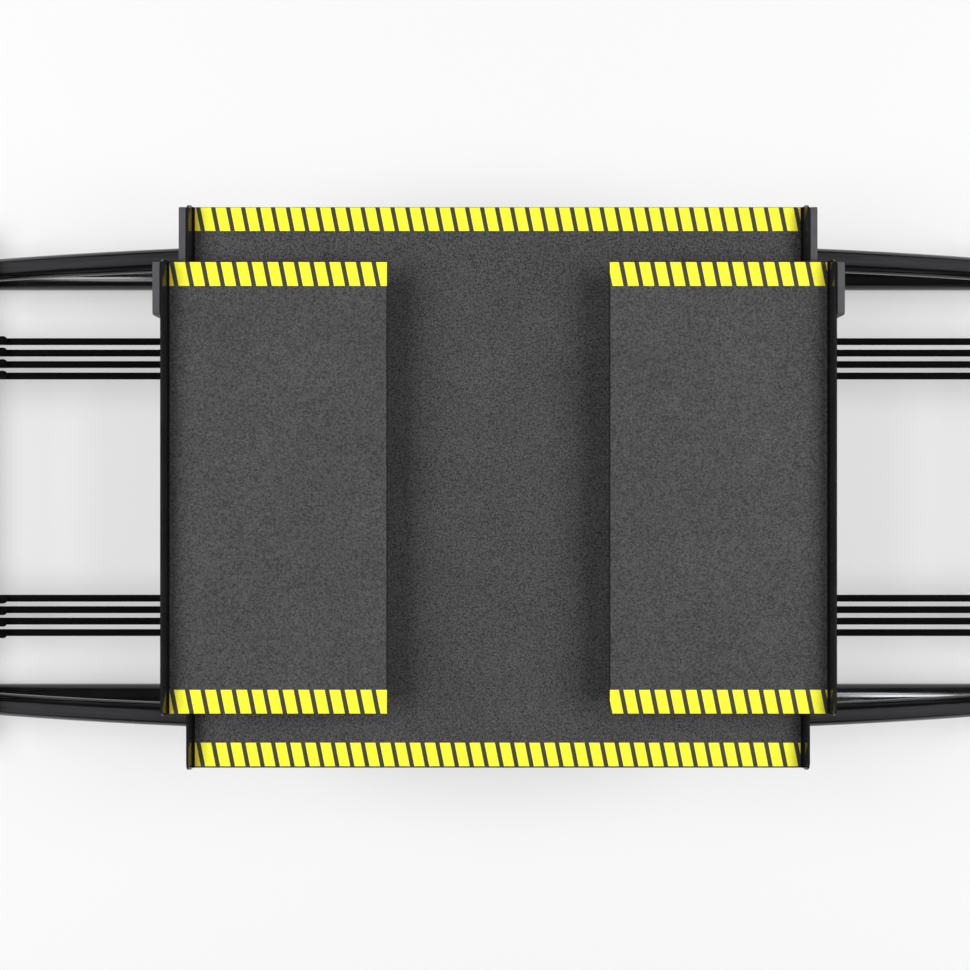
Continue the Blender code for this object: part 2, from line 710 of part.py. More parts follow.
def cord_places():
    """Each cord's name and y, counted outwards in each bundle."""
    places = []
    for name, rear in REAR_FRONT:
        for i in range(CORDS_IN_BUNDLE):
            offset = (i - (CORDS_IN_BUNDLE - 1) / 2) * CORD_PITCH
            places.append((f"cord_{name}_{i + 1}", rear * (BUNDLE_Y + offset)))
    return places


def clamp_bar(low, high):
    """A bar across the cords, with a half-round groove for each."""
    reach = BUNDLE_Y + BUNDLE_HALF + CLAMP_MARGIN
    half = CLAMP_LENGTH / 2
    bar = box((-half, -reach, low), (half, reach, high))
    for _, y in cord_places():
        groove = cylinder(CORD_RADIUS + BORE_GAP, 2 * CLAMP_LENGTH, (0, y, CORD_HEIGHT))
        groove.data.transform(Matrix.Rotation(math.pi / 2, 4, "Z"))
        cut(bar, groove)
    return bar


def cord_clamp():
    """The lower half of the clamp that ties the cords to the carriage."""
    return clamp_bar(CORD_HEIGHT - CLAMP_LOWER, CORD_HEIGHT - SEAT_GAP / 2)


def cord_hanger():
    """The upper half of the clamp, on a web that hangs from the deck's underside."""
    top = CORD_HEIGHT + CLAMP_UPPER
    hanger = clamp_bar(CORD_HEIGHT + SEAT_GAP / 2, top)
    reach = BUNDLE_Y + BUNDLE_HALF + CLAMP_MARGIN / 2
    grip = HANGER_FOOT_THICKNESS / 2
    half, low = HANGER_FOOT_WIDTH / 2, CARRIED - HANGER_FOOT_THICKNESS
    outline = [(-reach, top - grip), (reach, top - grip), (half, low + grip), (-half, low + grip)]
    join(hanger, flat_outline([outline], HANGER_WEB, "YZ", (0, 0, 0)))
    foot = HANGER_FOOT_LENGTH / 2
    return join(hanger, box((-foot, -half - grip, low), (foot, half + grip, CARRIED)))


def pivot_block(right, rear):
    """A bearing block on the deck, which holds one end of a foot platform's shaft."""
    axis = (right * PIVOT_X, PIVOT_HEIGHT)
    low, foot = DECK_TOP + SEAT_GAP, BLOCK_FOOT / 2
    x = right * PIVOT_X
    rim = [(x - foot, low), (x + foot, low), (x + foot, low + BLOCK_BASE)]
    rim += arc(axis, BLOCK_RADIUS, 0, 180, 10) + [(x - foot, low + BLOCK_BASE)]
    hole = round_hole(axis, SHAFT_RADIUS + BORE_GAP)
    y = rear * (HINGE_TUBE_LENGTH / 2 + BLOCK_GAP + BLOCK_THICKNESS / 2)
    return flat_outline([rim, hole], BLOCK_THICKNESS, "XZ", (0, y, 0))


def pivot_shaft(right):
    """A shaft with a collar at each end, through two blocks and the platform's tube."""
    half = HINGE_TUBE_LENGTH / 2 + BLOCK_GAP + BLOCK_THICKNESS + SEAT_GAP
    end = half + SHAFT_COLLAR
    profile = [(0, end), (SHAFT_COLLAR_RADIUS, end), (SHAFT_COLLAR_RADIUS, half)]
    profile += [(SHAFT_RADIUS, half)]
    profile += [(radius, -along) for radius, along in reversed(profile)]
    return turned(profile, (right * PIVOT_X, 0, PIVOT_HEIGHT))


def foot_skirt(right):
    """The lips under a platform's front, inner and rear edges, open towards its flange."""
    low, middle = FOOT_TOP - FOOT_LIP, FOOT_TOP - SHEET / 2
    inset = SHEET / 10
    inner, edge = FOOT_INNER_X + inset, FOOT_DEPTH / 2 - inset
    x_low, x_high = sorted((right * inner, right * FOOT_END_LIP_X))
    skirt = box((x_low, -edge, low), (x_high, edge, middle))
    x_low, x_high = sorted((right * (inner + SHEET), right * (FOOT_END_LIP_X + SHEET)))
    hollow = box((x_low, SHEET - edge, low - SHEET), (x_high, edge - SHEET, middle + SHEET))
    return cut(skirt, hollow)


def foot_pan(right):
    """A folded platform: up-turned outer side, lips below the other edges, hinge tube below."""
    outer = FOOT_OUTER_X + SHEET / 2
    middle, top = FOOT_TOP - SHEET / 2, FOOT_TOP + FOOT_FLANGE
    path = [(FOOT_INNER_X, middle), (outer, middle), (outer, top)]
    outline = [(right * x, z) for x, z in bent_sheet(path, SHEET, BEND)]
    pan = flat_outline([outline], FOOT_DEPTH, "XZ", (0, 0, 0))
    tip_rounding(pan, FLANGE_TIP, at_height_and_end(top, FOOT_DEPTH / 2))
    join(pan, foot_skirt(right))
    x, half = right * PIVOT_X, HINGE_TUBE_LENGTH / 2
    join(pan, box((x - HINGE_RIB / 2, -half, PIVOT_HEIGHT), (x + HINGE_RIB / 2, half, middle)))
    join(pan, cylinder(HINGE_TUBE_RADIUS, HINGE_TUBE_LENGTH + SHEET, (x, 0, PIVOT_HEIGHT)))
    bore = SHAFT_RADIUS + BORE_GAP
    return cut(pan, cylinder(bore, 2 * HINGE_TUBE_LENGTH, (x, 0, PIVOT_HEIGHT)))


def cushion(right, outer):
    """A rubber cushion between the deck and a platform, beside the pivot."""
    x = right * (PIVOT_X + outer * CUSHION_OFFSET)
    half_x, half_y = CUSHION_WIDTH / 2, CUSHION_LENGTH / 2
    low, high = DECK_TOP + SEAT_GAP, FOOT_UNDER - SEAT_GAP
    return bevel(box((x - half_x, -half_y, low), (x + half_x, half_y, high)), CUSHION_CORNER)


def build_frame(paints):
    for side, rear in REAR_FRONT:
        finish(base_tube(rear), f"base_tube_{side}", paints["gloss_black"])
        finish(arch_rail(rear), f"arch_rail_{side}", paints["gloss_black"])
    for side, right in LEFT_RIGHT:
        finish(crossbar(right), f"crossbar_{side}", paints["gloss_black"])
        finish(anchor_rod(right), f"anchor_rod_{side}", paints["bare_steel"])
        for end, rear in REAR_FRONT:
            finish(foot_boot(right, rear), f"foot_boot_{end}_{side}", paints["rubber"])
            finish(end_stop(right, rear), f"end_stop_{end}_{side}", paints["rubber"])
    for name, y in cord_places():
        finish(cord(y), name, paints["cord_black"])


def build_carriage(paints, carriage):
    finish(deck_pan(), "deck_pan", paints["grip_grey"], carriage)
    for side, rear in REAR_FRONT:
        finish(truck(rear), f"truck_{side}", paints["gloss_black"], carriage)
    for side, right in LEFT_RIGHT:
        finish(deck_corner_plate(right), f"deck_corner_plate_{side}", paints["grey"], carriage)
        finish(cross_tie(right), f"cross_tie_{side}", paints["gloss_black"], carriage)
        finish(pivot_shaft(right), f"pivot_shaft_{side}", paints["bare_steel"], carriage)
        for end, rear in REAR_FRONT:
            corner = f"{end}_{side}"
            finish(upper_axle(right, rear), f"axle_{corner}", paints["bare_steel"], carriage)
            finish(pivot_block(right, rear), f"pivot_block_{corner}", paints["grey"], carriage)
        for place, outer in (("inner", -1), ("outer", 1)):
            name = f"cushion_{side}_{place}"
            finish(cushion(right, outer), name, paints["rubber"], carriage)
    finish(cord_hanger(), "cord_hanger", paints["gloss_black"], carriage)
    finish(cord_clamp(), "cord_clamp", paints["gloss_black"], carriage)


def build_rollers(paints, carriage):
    for side, right in LEFT_RIGHT:
        for end, rear in REAR_FRONT:
            for kind, make in (("upper", upper_roller), ("lower", lower_roller)):
                wheel = make(right, rear)
                name = f"{kind}_roller_{end}_{side}"
                hub = joint_empty(name + "_spin", wheel.matrix_world.translation, carriage)
                finish(wheel, name, paints["roller"], hub)


def build_feet(paints, carriage):
    for side, right in LEFT_RIGHT:
        tilt = joint_empty(f"{side}_foot_tilt", (right * PIVOT_X, 0, PIVOT_HEIGHT), carriage)
        finish(foot_pan(right), f"foot_pan_{side}", paints["grip_grey"], tilt)
        finish(foot_corner_plate(right), f"foot_corner_plate_{side}", paints["grey"], tilt)


def main():
    paints = {
        "gloss_black": paint("gloss_black", (0.008, 0.008, 0.009), 0.25),
        "grip_grey": paint("grip_grey", (0.055, 0.055, 0.058), 0.85),
        "grey": paint("grey", (0.10, 0.10, 0.11), 0.5),
        "bare_steel": paint("bare_steel", (0.55, 0.55, 0.56), 0.35, 1.0),
        "rubber": paint("rubber", (0.012, 0.012, 0.012), 0.8),
        "cord_black": paint("cord_black", (0.010, 0.010, 0.010), 0.9),
        "roller": paint("roller", (0.25, 0.25, 0.24), 0.45),
    }
    build_frame(paints)
    carriage = joint_empty("carriage_swing", (0, 0, ARC_Z))
    build_carriage(paints, carriage)
    build_rollers(paints, carriage)
    build_feet(paints, carriage)


clear_scene()
pieces = new_collection("ski_simulator")
helpers = new_collection("cutters")
main()
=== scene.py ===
"""Ski simulator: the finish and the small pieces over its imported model, on a pale floor.

Laid out as a Blender add-on and run as a script. Metres, +Z up, +X the way the deck
travels, +Y the rear. Every piece's place is in its mesh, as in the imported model.
"""

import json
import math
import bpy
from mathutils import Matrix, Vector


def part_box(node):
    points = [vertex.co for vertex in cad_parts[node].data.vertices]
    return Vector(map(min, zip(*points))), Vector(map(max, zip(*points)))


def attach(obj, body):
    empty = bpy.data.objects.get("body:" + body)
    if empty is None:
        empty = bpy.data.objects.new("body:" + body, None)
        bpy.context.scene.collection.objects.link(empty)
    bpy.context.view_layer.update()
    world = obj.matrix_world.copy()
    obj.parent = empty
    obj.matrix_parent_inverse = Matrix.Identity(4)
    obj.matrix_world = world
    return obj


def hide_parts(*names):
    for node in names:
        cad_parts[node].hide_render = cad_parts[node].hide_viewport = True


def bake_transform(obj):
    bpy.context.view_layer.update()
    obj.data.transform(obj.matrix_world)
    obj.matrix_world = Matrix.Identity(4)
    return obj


bl_info = {
    "name": "Ski simulator",
    "version": (1, 0, 0),
    "blender": (4, 5, 0),
    "location": "View3D > Sidebar > Ski simulator",
    "description": "Finishes, grip, hazard tape, cords, cushions and fasteners of a ski "
    "simulator",
    "category": "Object",
}

from contextlib import contextmanager
from functools import partial

import bmesh
import bpy
from mathutils import Matrix, Vector

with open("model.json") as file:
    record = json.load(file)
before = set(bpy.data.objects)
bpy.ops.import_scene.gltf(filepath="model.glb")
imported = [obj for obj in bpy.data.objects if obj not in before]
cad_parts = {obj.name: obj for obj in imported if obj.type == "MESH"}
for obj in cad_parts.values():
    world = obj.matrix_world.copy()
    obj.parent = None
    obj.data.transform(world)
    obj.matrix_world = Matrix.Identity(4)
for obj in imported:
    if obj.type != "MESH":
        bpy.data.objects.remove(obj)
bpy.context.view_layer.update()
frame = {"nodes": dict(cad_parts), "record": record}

deck_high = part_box("deck_pan")[1]
foot_low, foot_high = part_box("foot_pan_right")
clamp_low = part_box("cord_clamp")[0]
hanger_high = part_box("cord_hanger")[1]
MIDDLE_RAIL_Y = sum(c[1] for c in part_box("arch_rail_rear")) / 2
DECK_TOP = 0.205
FOOT_TOP = 0.244
DECK_COAT_X = 0.3134  # from the middle to where the deck's coating ends, by the flange
FOOT_COAT_X = 0.3271  # the same on a platform
COAT = 0.00028  # how far the grit coating stands above the sheet
COAT_ROOT = 0.0002  # how far coating and sealer reach into it, so that no crack shows
COAT_ROUNDING = 0.0002  # of the coating's upper edges
TUBE_RADIUS = 0.016  # of the floor tubes
ROD_X = 0.650  # from the middle to the anchor rods
CORD_Z = 0.060  # height of the cords' runs
CORD_GAP = 0.0003  # between a cord and the rod, or the cord's own tail
TAIL_ASIDE = 0.0012  # how far outwards of its run a tail lies
WELD_RIPPLE = 0.09  # share of a bead's radius
PATCH = 0.7  # width of a noise texture's patches at scale 1
CLOUDY = {"Detail": 3.0, "Roughness": 0.6}  # a noise texture's finer clouds
TOUCHING = 1e-6  # points of a mesh as near each other as this are one
REAR_FRONT = (("rear", 1), ("front", -1))
LEFT_RIGHT = (("left", -1), ("right", 1))


# ---- sizes and colours


def length(name, description, default, low=0.0, high=4.0):
    return bpy.props.FloatProperty(
        name=name, description=description, default=default, min=low, max=high,
        precision=5, subtype="DISTANCE", unit="LENGTH",
    )


def hex_colour(name, description, default):
    return bpy.props.StringProperty(name=name, description=description, default=default)


class SkiSimSizes(bpy.types.PropertyGroup):
    """Sizes of the pieces that this file adds"""

    tape_pitch: length("Stripe pitch", "From one yellow stripe to the next", 0.01545)
    tape_stripe: length("Stripe width", "Yellow part of the pitch", 0.01085)
    tape_lean: bpy.props.FloatProperty(
        name="Stripe lean", description="Sideways run of a stripe per length down the tape",
        default=0.198, subtype="FACTOR",
    )
    tape_thickness: length("Tape thickness", "Printed vinyl and its adhesive", 0.00014)
    cord_diameter: length("Cord diameter", "Elastic cord with its braided cover", 0.0082)
    cord_tail: length("Cord tail", "Folded back from the rod's middle", 0.075)
    crimp_length: length("Crimp length", "Steel band over a cord's two runs", 0.010)
    bead_radius: length("Weld bead radius", "Size of the fillet welds", 0.0028)
    camera_height: length("Camera height", "Lens above the floor", 1.215)


class SkiSimColours(bpy.types.PropertyGroup):
    """Colours as sRGB hex values"""

    frame_black: hex_colour("Frame black", "Gloss powder coat of the frame", "#0D0D0E")
    sheet_black: hex_colour("Sheet black", "Powder coat of the folded sheets", "#1C1C1D")
    deck_grit: hex_colour("Deck grit", "Grit coating of the deck", "#484848")
    foot_grit: hex_colour("Platform grit", "Grit coating of the platforms", "#4A4A4B")
    tape_yellow: hex_colour("Tape yellow", "Printed stripes", "#FFFE3C")
    tape_grey: hex_colour("Tape grey", "Ground between the stripes", "#414143")
    plate_grey: hex_colour("Plate grey", "Corner plates and bearing blocks", "#505053")
    # the rubbed band is partly wear and partly a painted reflection of the light above
    rail_grey: hex_colour("Rail grey", "Rubbed band along the crown of the rails", "#343436")
    cord_black: hex_colour("Cord black", "Braided cover of the cords", "#0E0E0F")
    rubber_black: hex_colour("Rubber black", "Boots, end stops and cushions", "#1B1B1C")
    zinc: hex_colour("Zinc", "Plated rods, pins and screws", "#B9BAB8")
    roller_white: hex_colour("Roller white", "Cast polyurethane rollers", "#C6C2B8")
    floor_white: hex_colour("Floor", "Matt studio floor", "#BFBFBF")


# ---- making materials


def linear(hex_value):
    """An sRGB hex value as linear red, green, blue and alpha."""
    parts = [int(hex_value[i : i + 2], 16) / 255 for i in (1, 3, 5)]
    parts = [c / 12.92 if c <= 0.04045 else ((c + 0.055) / 1.055) ** 2.4 for c in parts]
    return (*parts, 1.0)


def shade(hex_value, factor):
    """The colour at a share of its linear brightness."""
    red, green, blue, alpha = linear(hex_value)
    return (red * factor, green * factor, blue * factor, alpha)


def colours():
    return bpy.context.scene.ski_sim_colours


def sizes():
    return bpy.context.scene.ski_sim_sizes


def add_node(tree, kind, inputs=None, **settings):
    """Adds a shader node with its settings and links. An input is a value, a socket, or
    a node, which stands for its first output. Each material gets this as its add, tied
    to its own tree."""
    made = tree.nodes.new(f"ShaderNode{kind}")
    for name, value in settings.items():
        setattr(made, name, value)
    for name, value in (inputs or {}).items():
        if isinstance(value, bpy.types.Node):
            value = value.outputs[0]
        if isinstance(value, bpy.types.NodeSocket):
            tree.links.new(value, made.inputs[name])
        else:
            made.inputs[name].default_value = value
    return made


def toned(add, pattern, low, high, first, second):
    """The first colour where the pattern is low, and the second where it is high."""
    share = add("MapRange", {0: pattern, 1: low, 2: high})
    return add("Mix", {0: share, 6: first, 7: second}, data_type="RGBA").outputs[2]


def orange_peel(add, place, strength):
    """The faint waves of powder coat, about 3 mm across."""
    peel = add("TexNoise", {"Vector": place, "Scale": PATCH / 0.0028, "Detail": 1.0})
    return add("Bump", {"Height": peel, "Distance": 0.00002, "Strength": strength})


def embossed_film(add, place):
    """The light emboss of vinyl film, about 1 mm across: its pattern, sheen and relief."""
    emboss = add("TexNoise", {"Vector": place, "Scale": PATCH / 0.0012})
    satin = add("MapRange", {0: emboss, 1: 0.3, 2: 0.7, 3: 0.42, 4: 0.58})
    pressed = add("Bump", {"Height": emboss, "Distance": 0.00008, "Strength": 0.4})
    return emboss, satin, pressed


def powder_coated_steel(add, black):
    """Steel with gloss black powder coat: dark, mirror-like at a slant, with a faint
    orange peel about 3 mm across and thin patches of handling haze. The folded sheets'
    coat is a little greyer than the pipes'."""
    place = add("TexCoord").outputs["Object"]
    haze = add("TexNoise", {"Vector": place, "Scale": PATCH / 0.045, **CLOUDY})
    coat = toned(add, haze, 0.42, 0.75, linear(black), shade(black, 1.7))
    gloss = add("MapRange", {0: haze, 1: 0.3, 2: 0.7, 3: 0.10, 4: 0.18})
    waves = orange_peel(add, place, 0.5)
    return {"Base Color": coat, "Roughness": gloss, "Normal": waves}


def running_rail_steel(add):
    """The rails' powder coat: gloss black, with a grey band painted along the crown where it
    faces upwards, where the rollers run: partly the coat rubbed by the rollers and partly a
    painted reflection of the light above. Fine marks about 1 mm apart run along it."""
    place = add("TexCoord").outputs["Object"]
    across = add("SeparateXYZ", {0: place}).outputs[1]
    away = add("Math", {0: across}, operation="ABSOLUTE")
    wander = add("TexNoise", {"Vector": place, "Scale": PATCH / 0.02, "Detail": 3.0})
    wander = add("MapRange", {0: wander, 1: 0.3, 2: 0.7, 3: -0.0003, 4: 0.0003})
    edge = add("Math", {0: away, 1: wander})
    # the grey band's two edges, each soft over 1.2 mm
    inner = add("MapRange", {0: edge, 1: MIDDLE_RAIL_Y - 0.0070, 2: MIDDLE_RAIL_Y - 0.0058})
    outer = add(
        "MapRange",
        {0: edge, 1: MIDDLE_RAIL_Y + 0.0050, 2: MIDDLE_RAIL_Y + 0.0062, 3: 1.0, 4: 0.0},
    )
    facing = add("NewGeometry").outputs["True Normal"]
    up = add("SeparateXYZ", {0: facing}).outputs[2]
    # painted reflection, in part: the band is kept to the faces that look upwards
    crown = add("MapRange", {0: up, 1: 0.55, 2: 0.75})
    band = add("Math", {0: inner, 1: outer}, operation="MULTIPLY")
    band = add("Math", {0: band, 1: crown}, operation="MULTIPLY")
    streaks = add("Mapping", {"Vector": place, "Scale": (0.02, 1.0, 0.02)})
    marks = add("TexNoise", {"Vector": streaks, "Scale": PATCH / 0.0011})
    black, grey = linear(colours().frame_black), colours().rail_grey
    # the grey stands partly for wear and partly for a painted reflection
    rubbed = toned(add, marks, 0.3, 0.7, shade(grey, 0.85), shade(grey, 1.15))
    coat = add("Mix", {0: band, 6: black, 7: rubbed}, data_type="RGBA")
    gloss = add("MapRange", {0: band, 3: 0.14, 4: 0.24})
    waves = orange_peel(add, place, 0.4)
    scratched = add(
        "Bump", {"Height": marks, "Distance": 0.00002, "Strength": 0.4, "Normal": waves}
    )
    return {"Base Color": coat.outputs[2], "Roughness": gloss, "Normal": scratched,
            "Specular IOR Level": 0.3}


def grit_coating(add, hex_value, contrast, rear_from):
    """Two-part polyurethane with quartz grit, rolled on: matt dark grey, with grains of
    about 1 mm whose tone follows their height, lighter on top: partly the grains' own tone
    and partly a painted highlight where they catch the light. The pits between them are
    painted near black as painted shade and read as black specks, more of them rearwards of
    rear_from, where it was laid on last. The real grains are half as wide, and are drawn
    this coarse so that they show."""
    place = add("TexCoord").outputs["Object"]
    fine = add("TexNoise", {"Vector": place, "Scale": PATCH / 0.0012, "Roughness": 0.6})
    pits = add("TexVoronoi", {"Vector": place, "Scale": 1 / 0.0026})
    thick = add("TexNoise", {"Vector": place, "Scale": PATCH / 0.05})
    dark, light = shade(hex_value, 1.0 - contrast), shade(hex_value, 1.0 + contrast)
    # painted highlight in part: the same noise that raises the grains makes the high ones
    # lighter
    grains = toned(add, fine, 0.28, 0.72, dark, light)
    cloud = add("MapRange", {0: thick, 1: 0.3, 2: 0.7, 3: 0.94, 4: 1.07})
    cloud = add("CombineColor", {0: cloud, 1: cloud, 2: cloud})
    clouded = add(
        "Mix", {0: 1.0, 6: grains, 7: cloud}, data_type="RGBA", blend_type="MULTIPLY"
    )
    across = add("SeparateXYZ", {0: place}).outputs[1]
    often = add("MapRange", {0: across, 1: rear_from, 2: rear_from + 0.05, 3: 0.2, 4: 1.0})
    open_pit = add("MapRange", {0: pits, 1: 0.18, 2: 0.34, 3: 1.0, 4: 0.0})
    patches = add("TexNoise", {"Vector": place, "Scale": PATCH / 0.007})
    where = add("MapRange", {0: patches, 1: 0.42, 2: 0.60})
    depth = add("Math", {0: open_pit, 1: where}, operation="MULTIPLY")
    depth = add("Math", {0: depth, 1: often}, operation="MULTIPLY")
    # painted shade: the open pits are painted at a fifth of the coating's colour
    painted_pit_shade = shade(hex_value, 0.2)
    pits_painted_in_shade = add("Mix", {0: depth, 6: clouded.outputs[2], 7: painted_pit_shade}, data_type="RGBA")
    dull = add("MapRange", {0: fine, 1: 0.3, 2: 0.7, 3: 0.95, 4: 0.80})
    grainy = add("Bump", {"Height": fine, "Distance": 0.00045 * contrast, "Strength": 0.6})
    sunk = add(
        "Bump", {"Height": pits, "Distance": 0.0002, "Strength": 0.35, "Normal": grainy}
    )
    return {"Base Color": pits_painted_in_shade.outputs[2], "Roughness": dull, "Normal": sunk,
            "Specular IOR Level": 0.2}


def yellow_vinyl(add, outer_end):
    """Printed hazard tape, yellow: vinyl film with a light emboss about 1 mm across,
    satin, a little warmer where feet rub it. At its outer end, by the flange, it is painted
    warmer and darker as painted shade of the flange."""
    place = add("TexCoord").outputs["Object"]
    feet = add("TexNoise", {"Vector": place, "Scale": PATCH / 0.035, **CLOUDY})
    rubbed = add("MapRange", {0: feet, 1: 0.60, 2: 0.78, 3: 0.0, 4: 0.45})
    along = add("SeparateXYZ", {0: place}).outputs[0]
    away = add("Math", {0: along}, operation="ABSOLUTE")
    # painted shade: over the last 9 mm before the outer end, by the flange, the yellow is
    # mixed towards the darker, warmer yellow
    flange_shade_from = outer_end - 0.009
    painted_flange_shade = add("MapRange", {0: away, 1: flange_shade_from, 2: outer_end, 3: 0.0, 4: 0.8})
    wear_and_painted_shade = add("Math", {0: rubbed, 1: painted_flange_shade}, operation="MAXIMUM")
    yellow, warm, grime = (linear(h) for h in (colours().tape_yellow, "#F3D03A", "#5A5A3A"))
    # the warmer yellow stands for wear where feet rub, and for painted shade by the flange
    worn_and_shaded = add("Mix", {0: wear_and_painted_shade, 6: yellow, 7: warm}, data_type="RGBA")
    emboss, satin, pressed = embossed_film(add, place)
    dirt = add("MapRange", {0: emboss, 1: 0.30, 2: 0.55, 3: 0.06, 4: 0.0})
    dirty = add("Mix", {0: dirt, 6: worn_and_shaded.outputs[2], 7: grime}, data_type="RGBA")
    return {"Base Color": dirty.outputs[2], "Roughness": satin, "Normal": pressed}


def grey_vinyl(add):
    """Printed hazard tape, the dark ground between the stripes: the same embossed vinyl
    film, printed a mottled charcoal grey."""
    emboss, satin, pressed = embossed_film(add, add("TexCoord").outputs["Object"])
    grey = colours().tape_grey
    mottled = toned(add, emboss, 0.3, 0.7, shade(grey, 0.8), shade(grey, 1.2))
    return {"Base Color": mottled, "Roughness": satin, "Normal": pressed}


def braided_cover(add):
    """Polyester braid over a rubber core: matt black, two sets of strands that cross on
    the slant, about 2 mm apart, drawn from the cord's own length and girth."""
    parts = add("SeparateXYZ", {0: add("UVMap", uv_map="cord")})
    strands = []
    for lean in (8.0, -8.0):
        turned = add("Math", {0: parts.outputs[1], 1: lean}, operation="MULTIPLY")
        run = {0: parts.outputs[0], 1: 1 / 0.0045, 2: turned}
        run = add("Math", run, operation="MULTIPLY_ADD")
        wave = add("Math", {0: run, 1: 2 * math.pi}, operation="MULTIPLY")
        strands.append(add("Math", {0: wave}, operation="SINE"))
    woven = add("Math", {0: strands[0], 1: strands[1]}, operation="MAXIMUM")
    lifted = add("MapRange", {0: woven, 1: -0.4, 2: 1.0})
    dark, light = (shade(colours().cord_black, share) for share in (0.55, 1.25))
    cover = add("Mix", {0: lifted, 6: dark, 7: light}, data_type="RGBA")
    relief = add("Bump", {"Height": lifted, "Distance": 0.0003, "Strength": 0.8})
    return {"Base Color": cover.outputs[2], "Roughness": 0.82, "Normal": relief,
            "Specular IOR Level": 0.2}


def moulded_rubber(add):
    """Moulded rubber: matt black with a fine spark-eroded mould grain and a dusty bloom."""
    place = add("TexCoord").outputs["Object"]
    dust = add("TexNoise", {"Vector": place, "Scale": PATCH / 0.02, **CLOUDY})
    bloom = add("MapRange", {0: dust, 1: 0.45, 2: 0.75})
    clean, dusty = (shade(colours().rubber_black, share) for share in (1.0, 1.9))
    rubber = add("Mix", {0: bloom, 6: clean, 7: dusty}, data_type="RGBA")
    dull = add("MapRange", {0: bloom, 3: 0.66, 4: 0.84})
    spark = add("TexNoise", {"Vector": place, "Scale": PATCH / 0.0008})
    relief = add("Bump", {"Height": spark, "Distance": 0.0001, "Strength": 0.5})
    return {"Base Color": rubber.outputs[2], "Roughness": dull, "Normal": relief,
            "Specular IOR Level": 0.4}


def brushed_sealer(add):
    """Polyurethane seam sealer, brushed on and left dull: black, soft and slightly
    lumpy along its length."""
    place = add("TexCoord").outputs["Object"]
    lumps = add("TexNoise", {"Vector": place, "Scale": PATCH / 0.004})
    black = colours().frame_black
    colour = toned(add, lumps, 0.35, 0.7, shade(black, 0.8), shade(black, 1.5))
    dull = add("MapRange", {0: lumps, 1: 0.3, 2: 0.7, 3: 0.62, 4: 0.80})
    relief = add("Bump", {"Height": lumps, "Distance": 0.0001, "Strength": 0.4})
    return {"Base Color": colour, "Roughness": dull, "Normal": relief,
            "Specular IOR Level": 0.2}


def zinc_plated_steel(add):
    """Turned steel with bright zinc plate: cool metal with faint turning marks about 1 mm
    apart and a cloudy passivated film."""
    place = add("TexCoord").outputs["Object"]
    film = add("TexNoise", {"Vector": place, "Scale": PATCH / 0.008, **CLOUDY})
    plate = toned(add, film, 0.35, 0.7, linear(colours().zinc), linear("#C9C3A8"))
    gloss = add("MapRange", {0: film, 1: 0.3, 2: 0.7, 3: 0.26, 4: 0.40})
    turning = add("Mapping", {"Vector": place, "Scale": (1.0, 6.0, 1.0)})
    marks = add("TexNoise", {"Vector": turning, "Scale": PATCH / 0.0012})
    relief = add("Bump", {"Height": marks, "Distance": 0.00002, "Strength": 0.4})
    return {"Base Color": plate, "Metallic": 1.0, "Roughness": gloss, "Normal": relief}


def satin_grey_coat(add):
    """Mid grey satin powder coat on small plates and blocks: an even face, slightly
    pebbled at about 1.5 mm, and a little rubbed."""
    place = add("TexCoord").outputs["Object"]
    rubbed = add("TexNoise", {"Vector": place, "Scale": PATCH / 0.012, **CLOUDY})
    grey = colours().plate_grey
    coat = toned(add, rubbed, 0.35, 0.7, shade(grey, 0.92), shade(grey, 1.12))
    satin = add("MapRange", {0: rubbed, 1: 0.3, 2: 0.7, 3: 0.42, 4: 0.54})
    pebbles = add("TexNoise", {"Vector": place, "Scale": PATCH / 0.0016, "Detail": 1.0})
    relief = add("Bump", {"Height": pebbles, "Distance": 0.00004, "Strength": 0.5})
    return {"Base Color": coat, "Roughness": satin, "Normal": relief}


def cast_polyurethane(add):
    """Cast polyurethane: warm off-white, satin, with dark streaks about 4 mm across that
    the rollers pick up at the tread."""
    place = add("TexCoord").outputs["Object"]
    rolled = add("TexNoise", {"Vector": place, "Scale": PATCH / 0.004, **CLOUDY})
    pale = colours().roller_white
    cast = toned(add, rolled, 0.45, 0.7, linear(pale), shade(pale, 0.6))
    satin = add("MapRange", {0: rolled, 1: 0.3, 2: 0.7, 3: 0.36, 4: 0.46})
    relief = add("Bump", {"Height": rolled, "Distance": 0.00005, "Strength": 0.4})
    return {"Base Color": cast, "Roughness": satin, "Normal": relief}


def studio_floor(add):
    """Matt pale studio board with a faint tooth. The camera and reflections see it lighter
    than it lights the object, as a white background does."""
    place = add("TexCoord").outputs["Object"]
    tooth = add("TexNoise", {"Vector": place, "Scale": PATCH / 0.004})
    relief = add("Bump", {"Height": tooth, "Distance": 0.00005, "Strength": 0.2})
    rays = add("LightPath").outputs
    seen = add(
        "Math", {0: rays["Is Camera Ray"], 1: rays["Is Glossy Ray"]}, operation="MAXIMUM"
    )
    seen = add("Math", {0: seen, 1: rays["Is Transmission Ray"]}, operation="MAXIMUM")
    lift = add("Math", {0: seen, 1: 0.37}, operation="MULTIPLY")
    return {"Base Color": linear(colours().floor_white), "Roughness": 0.9,
            "Specular IOR Level": 0.0, "Normal": relief,
            "Emission Color": (1, 1, 1, 1), "Emission Strength": lift}


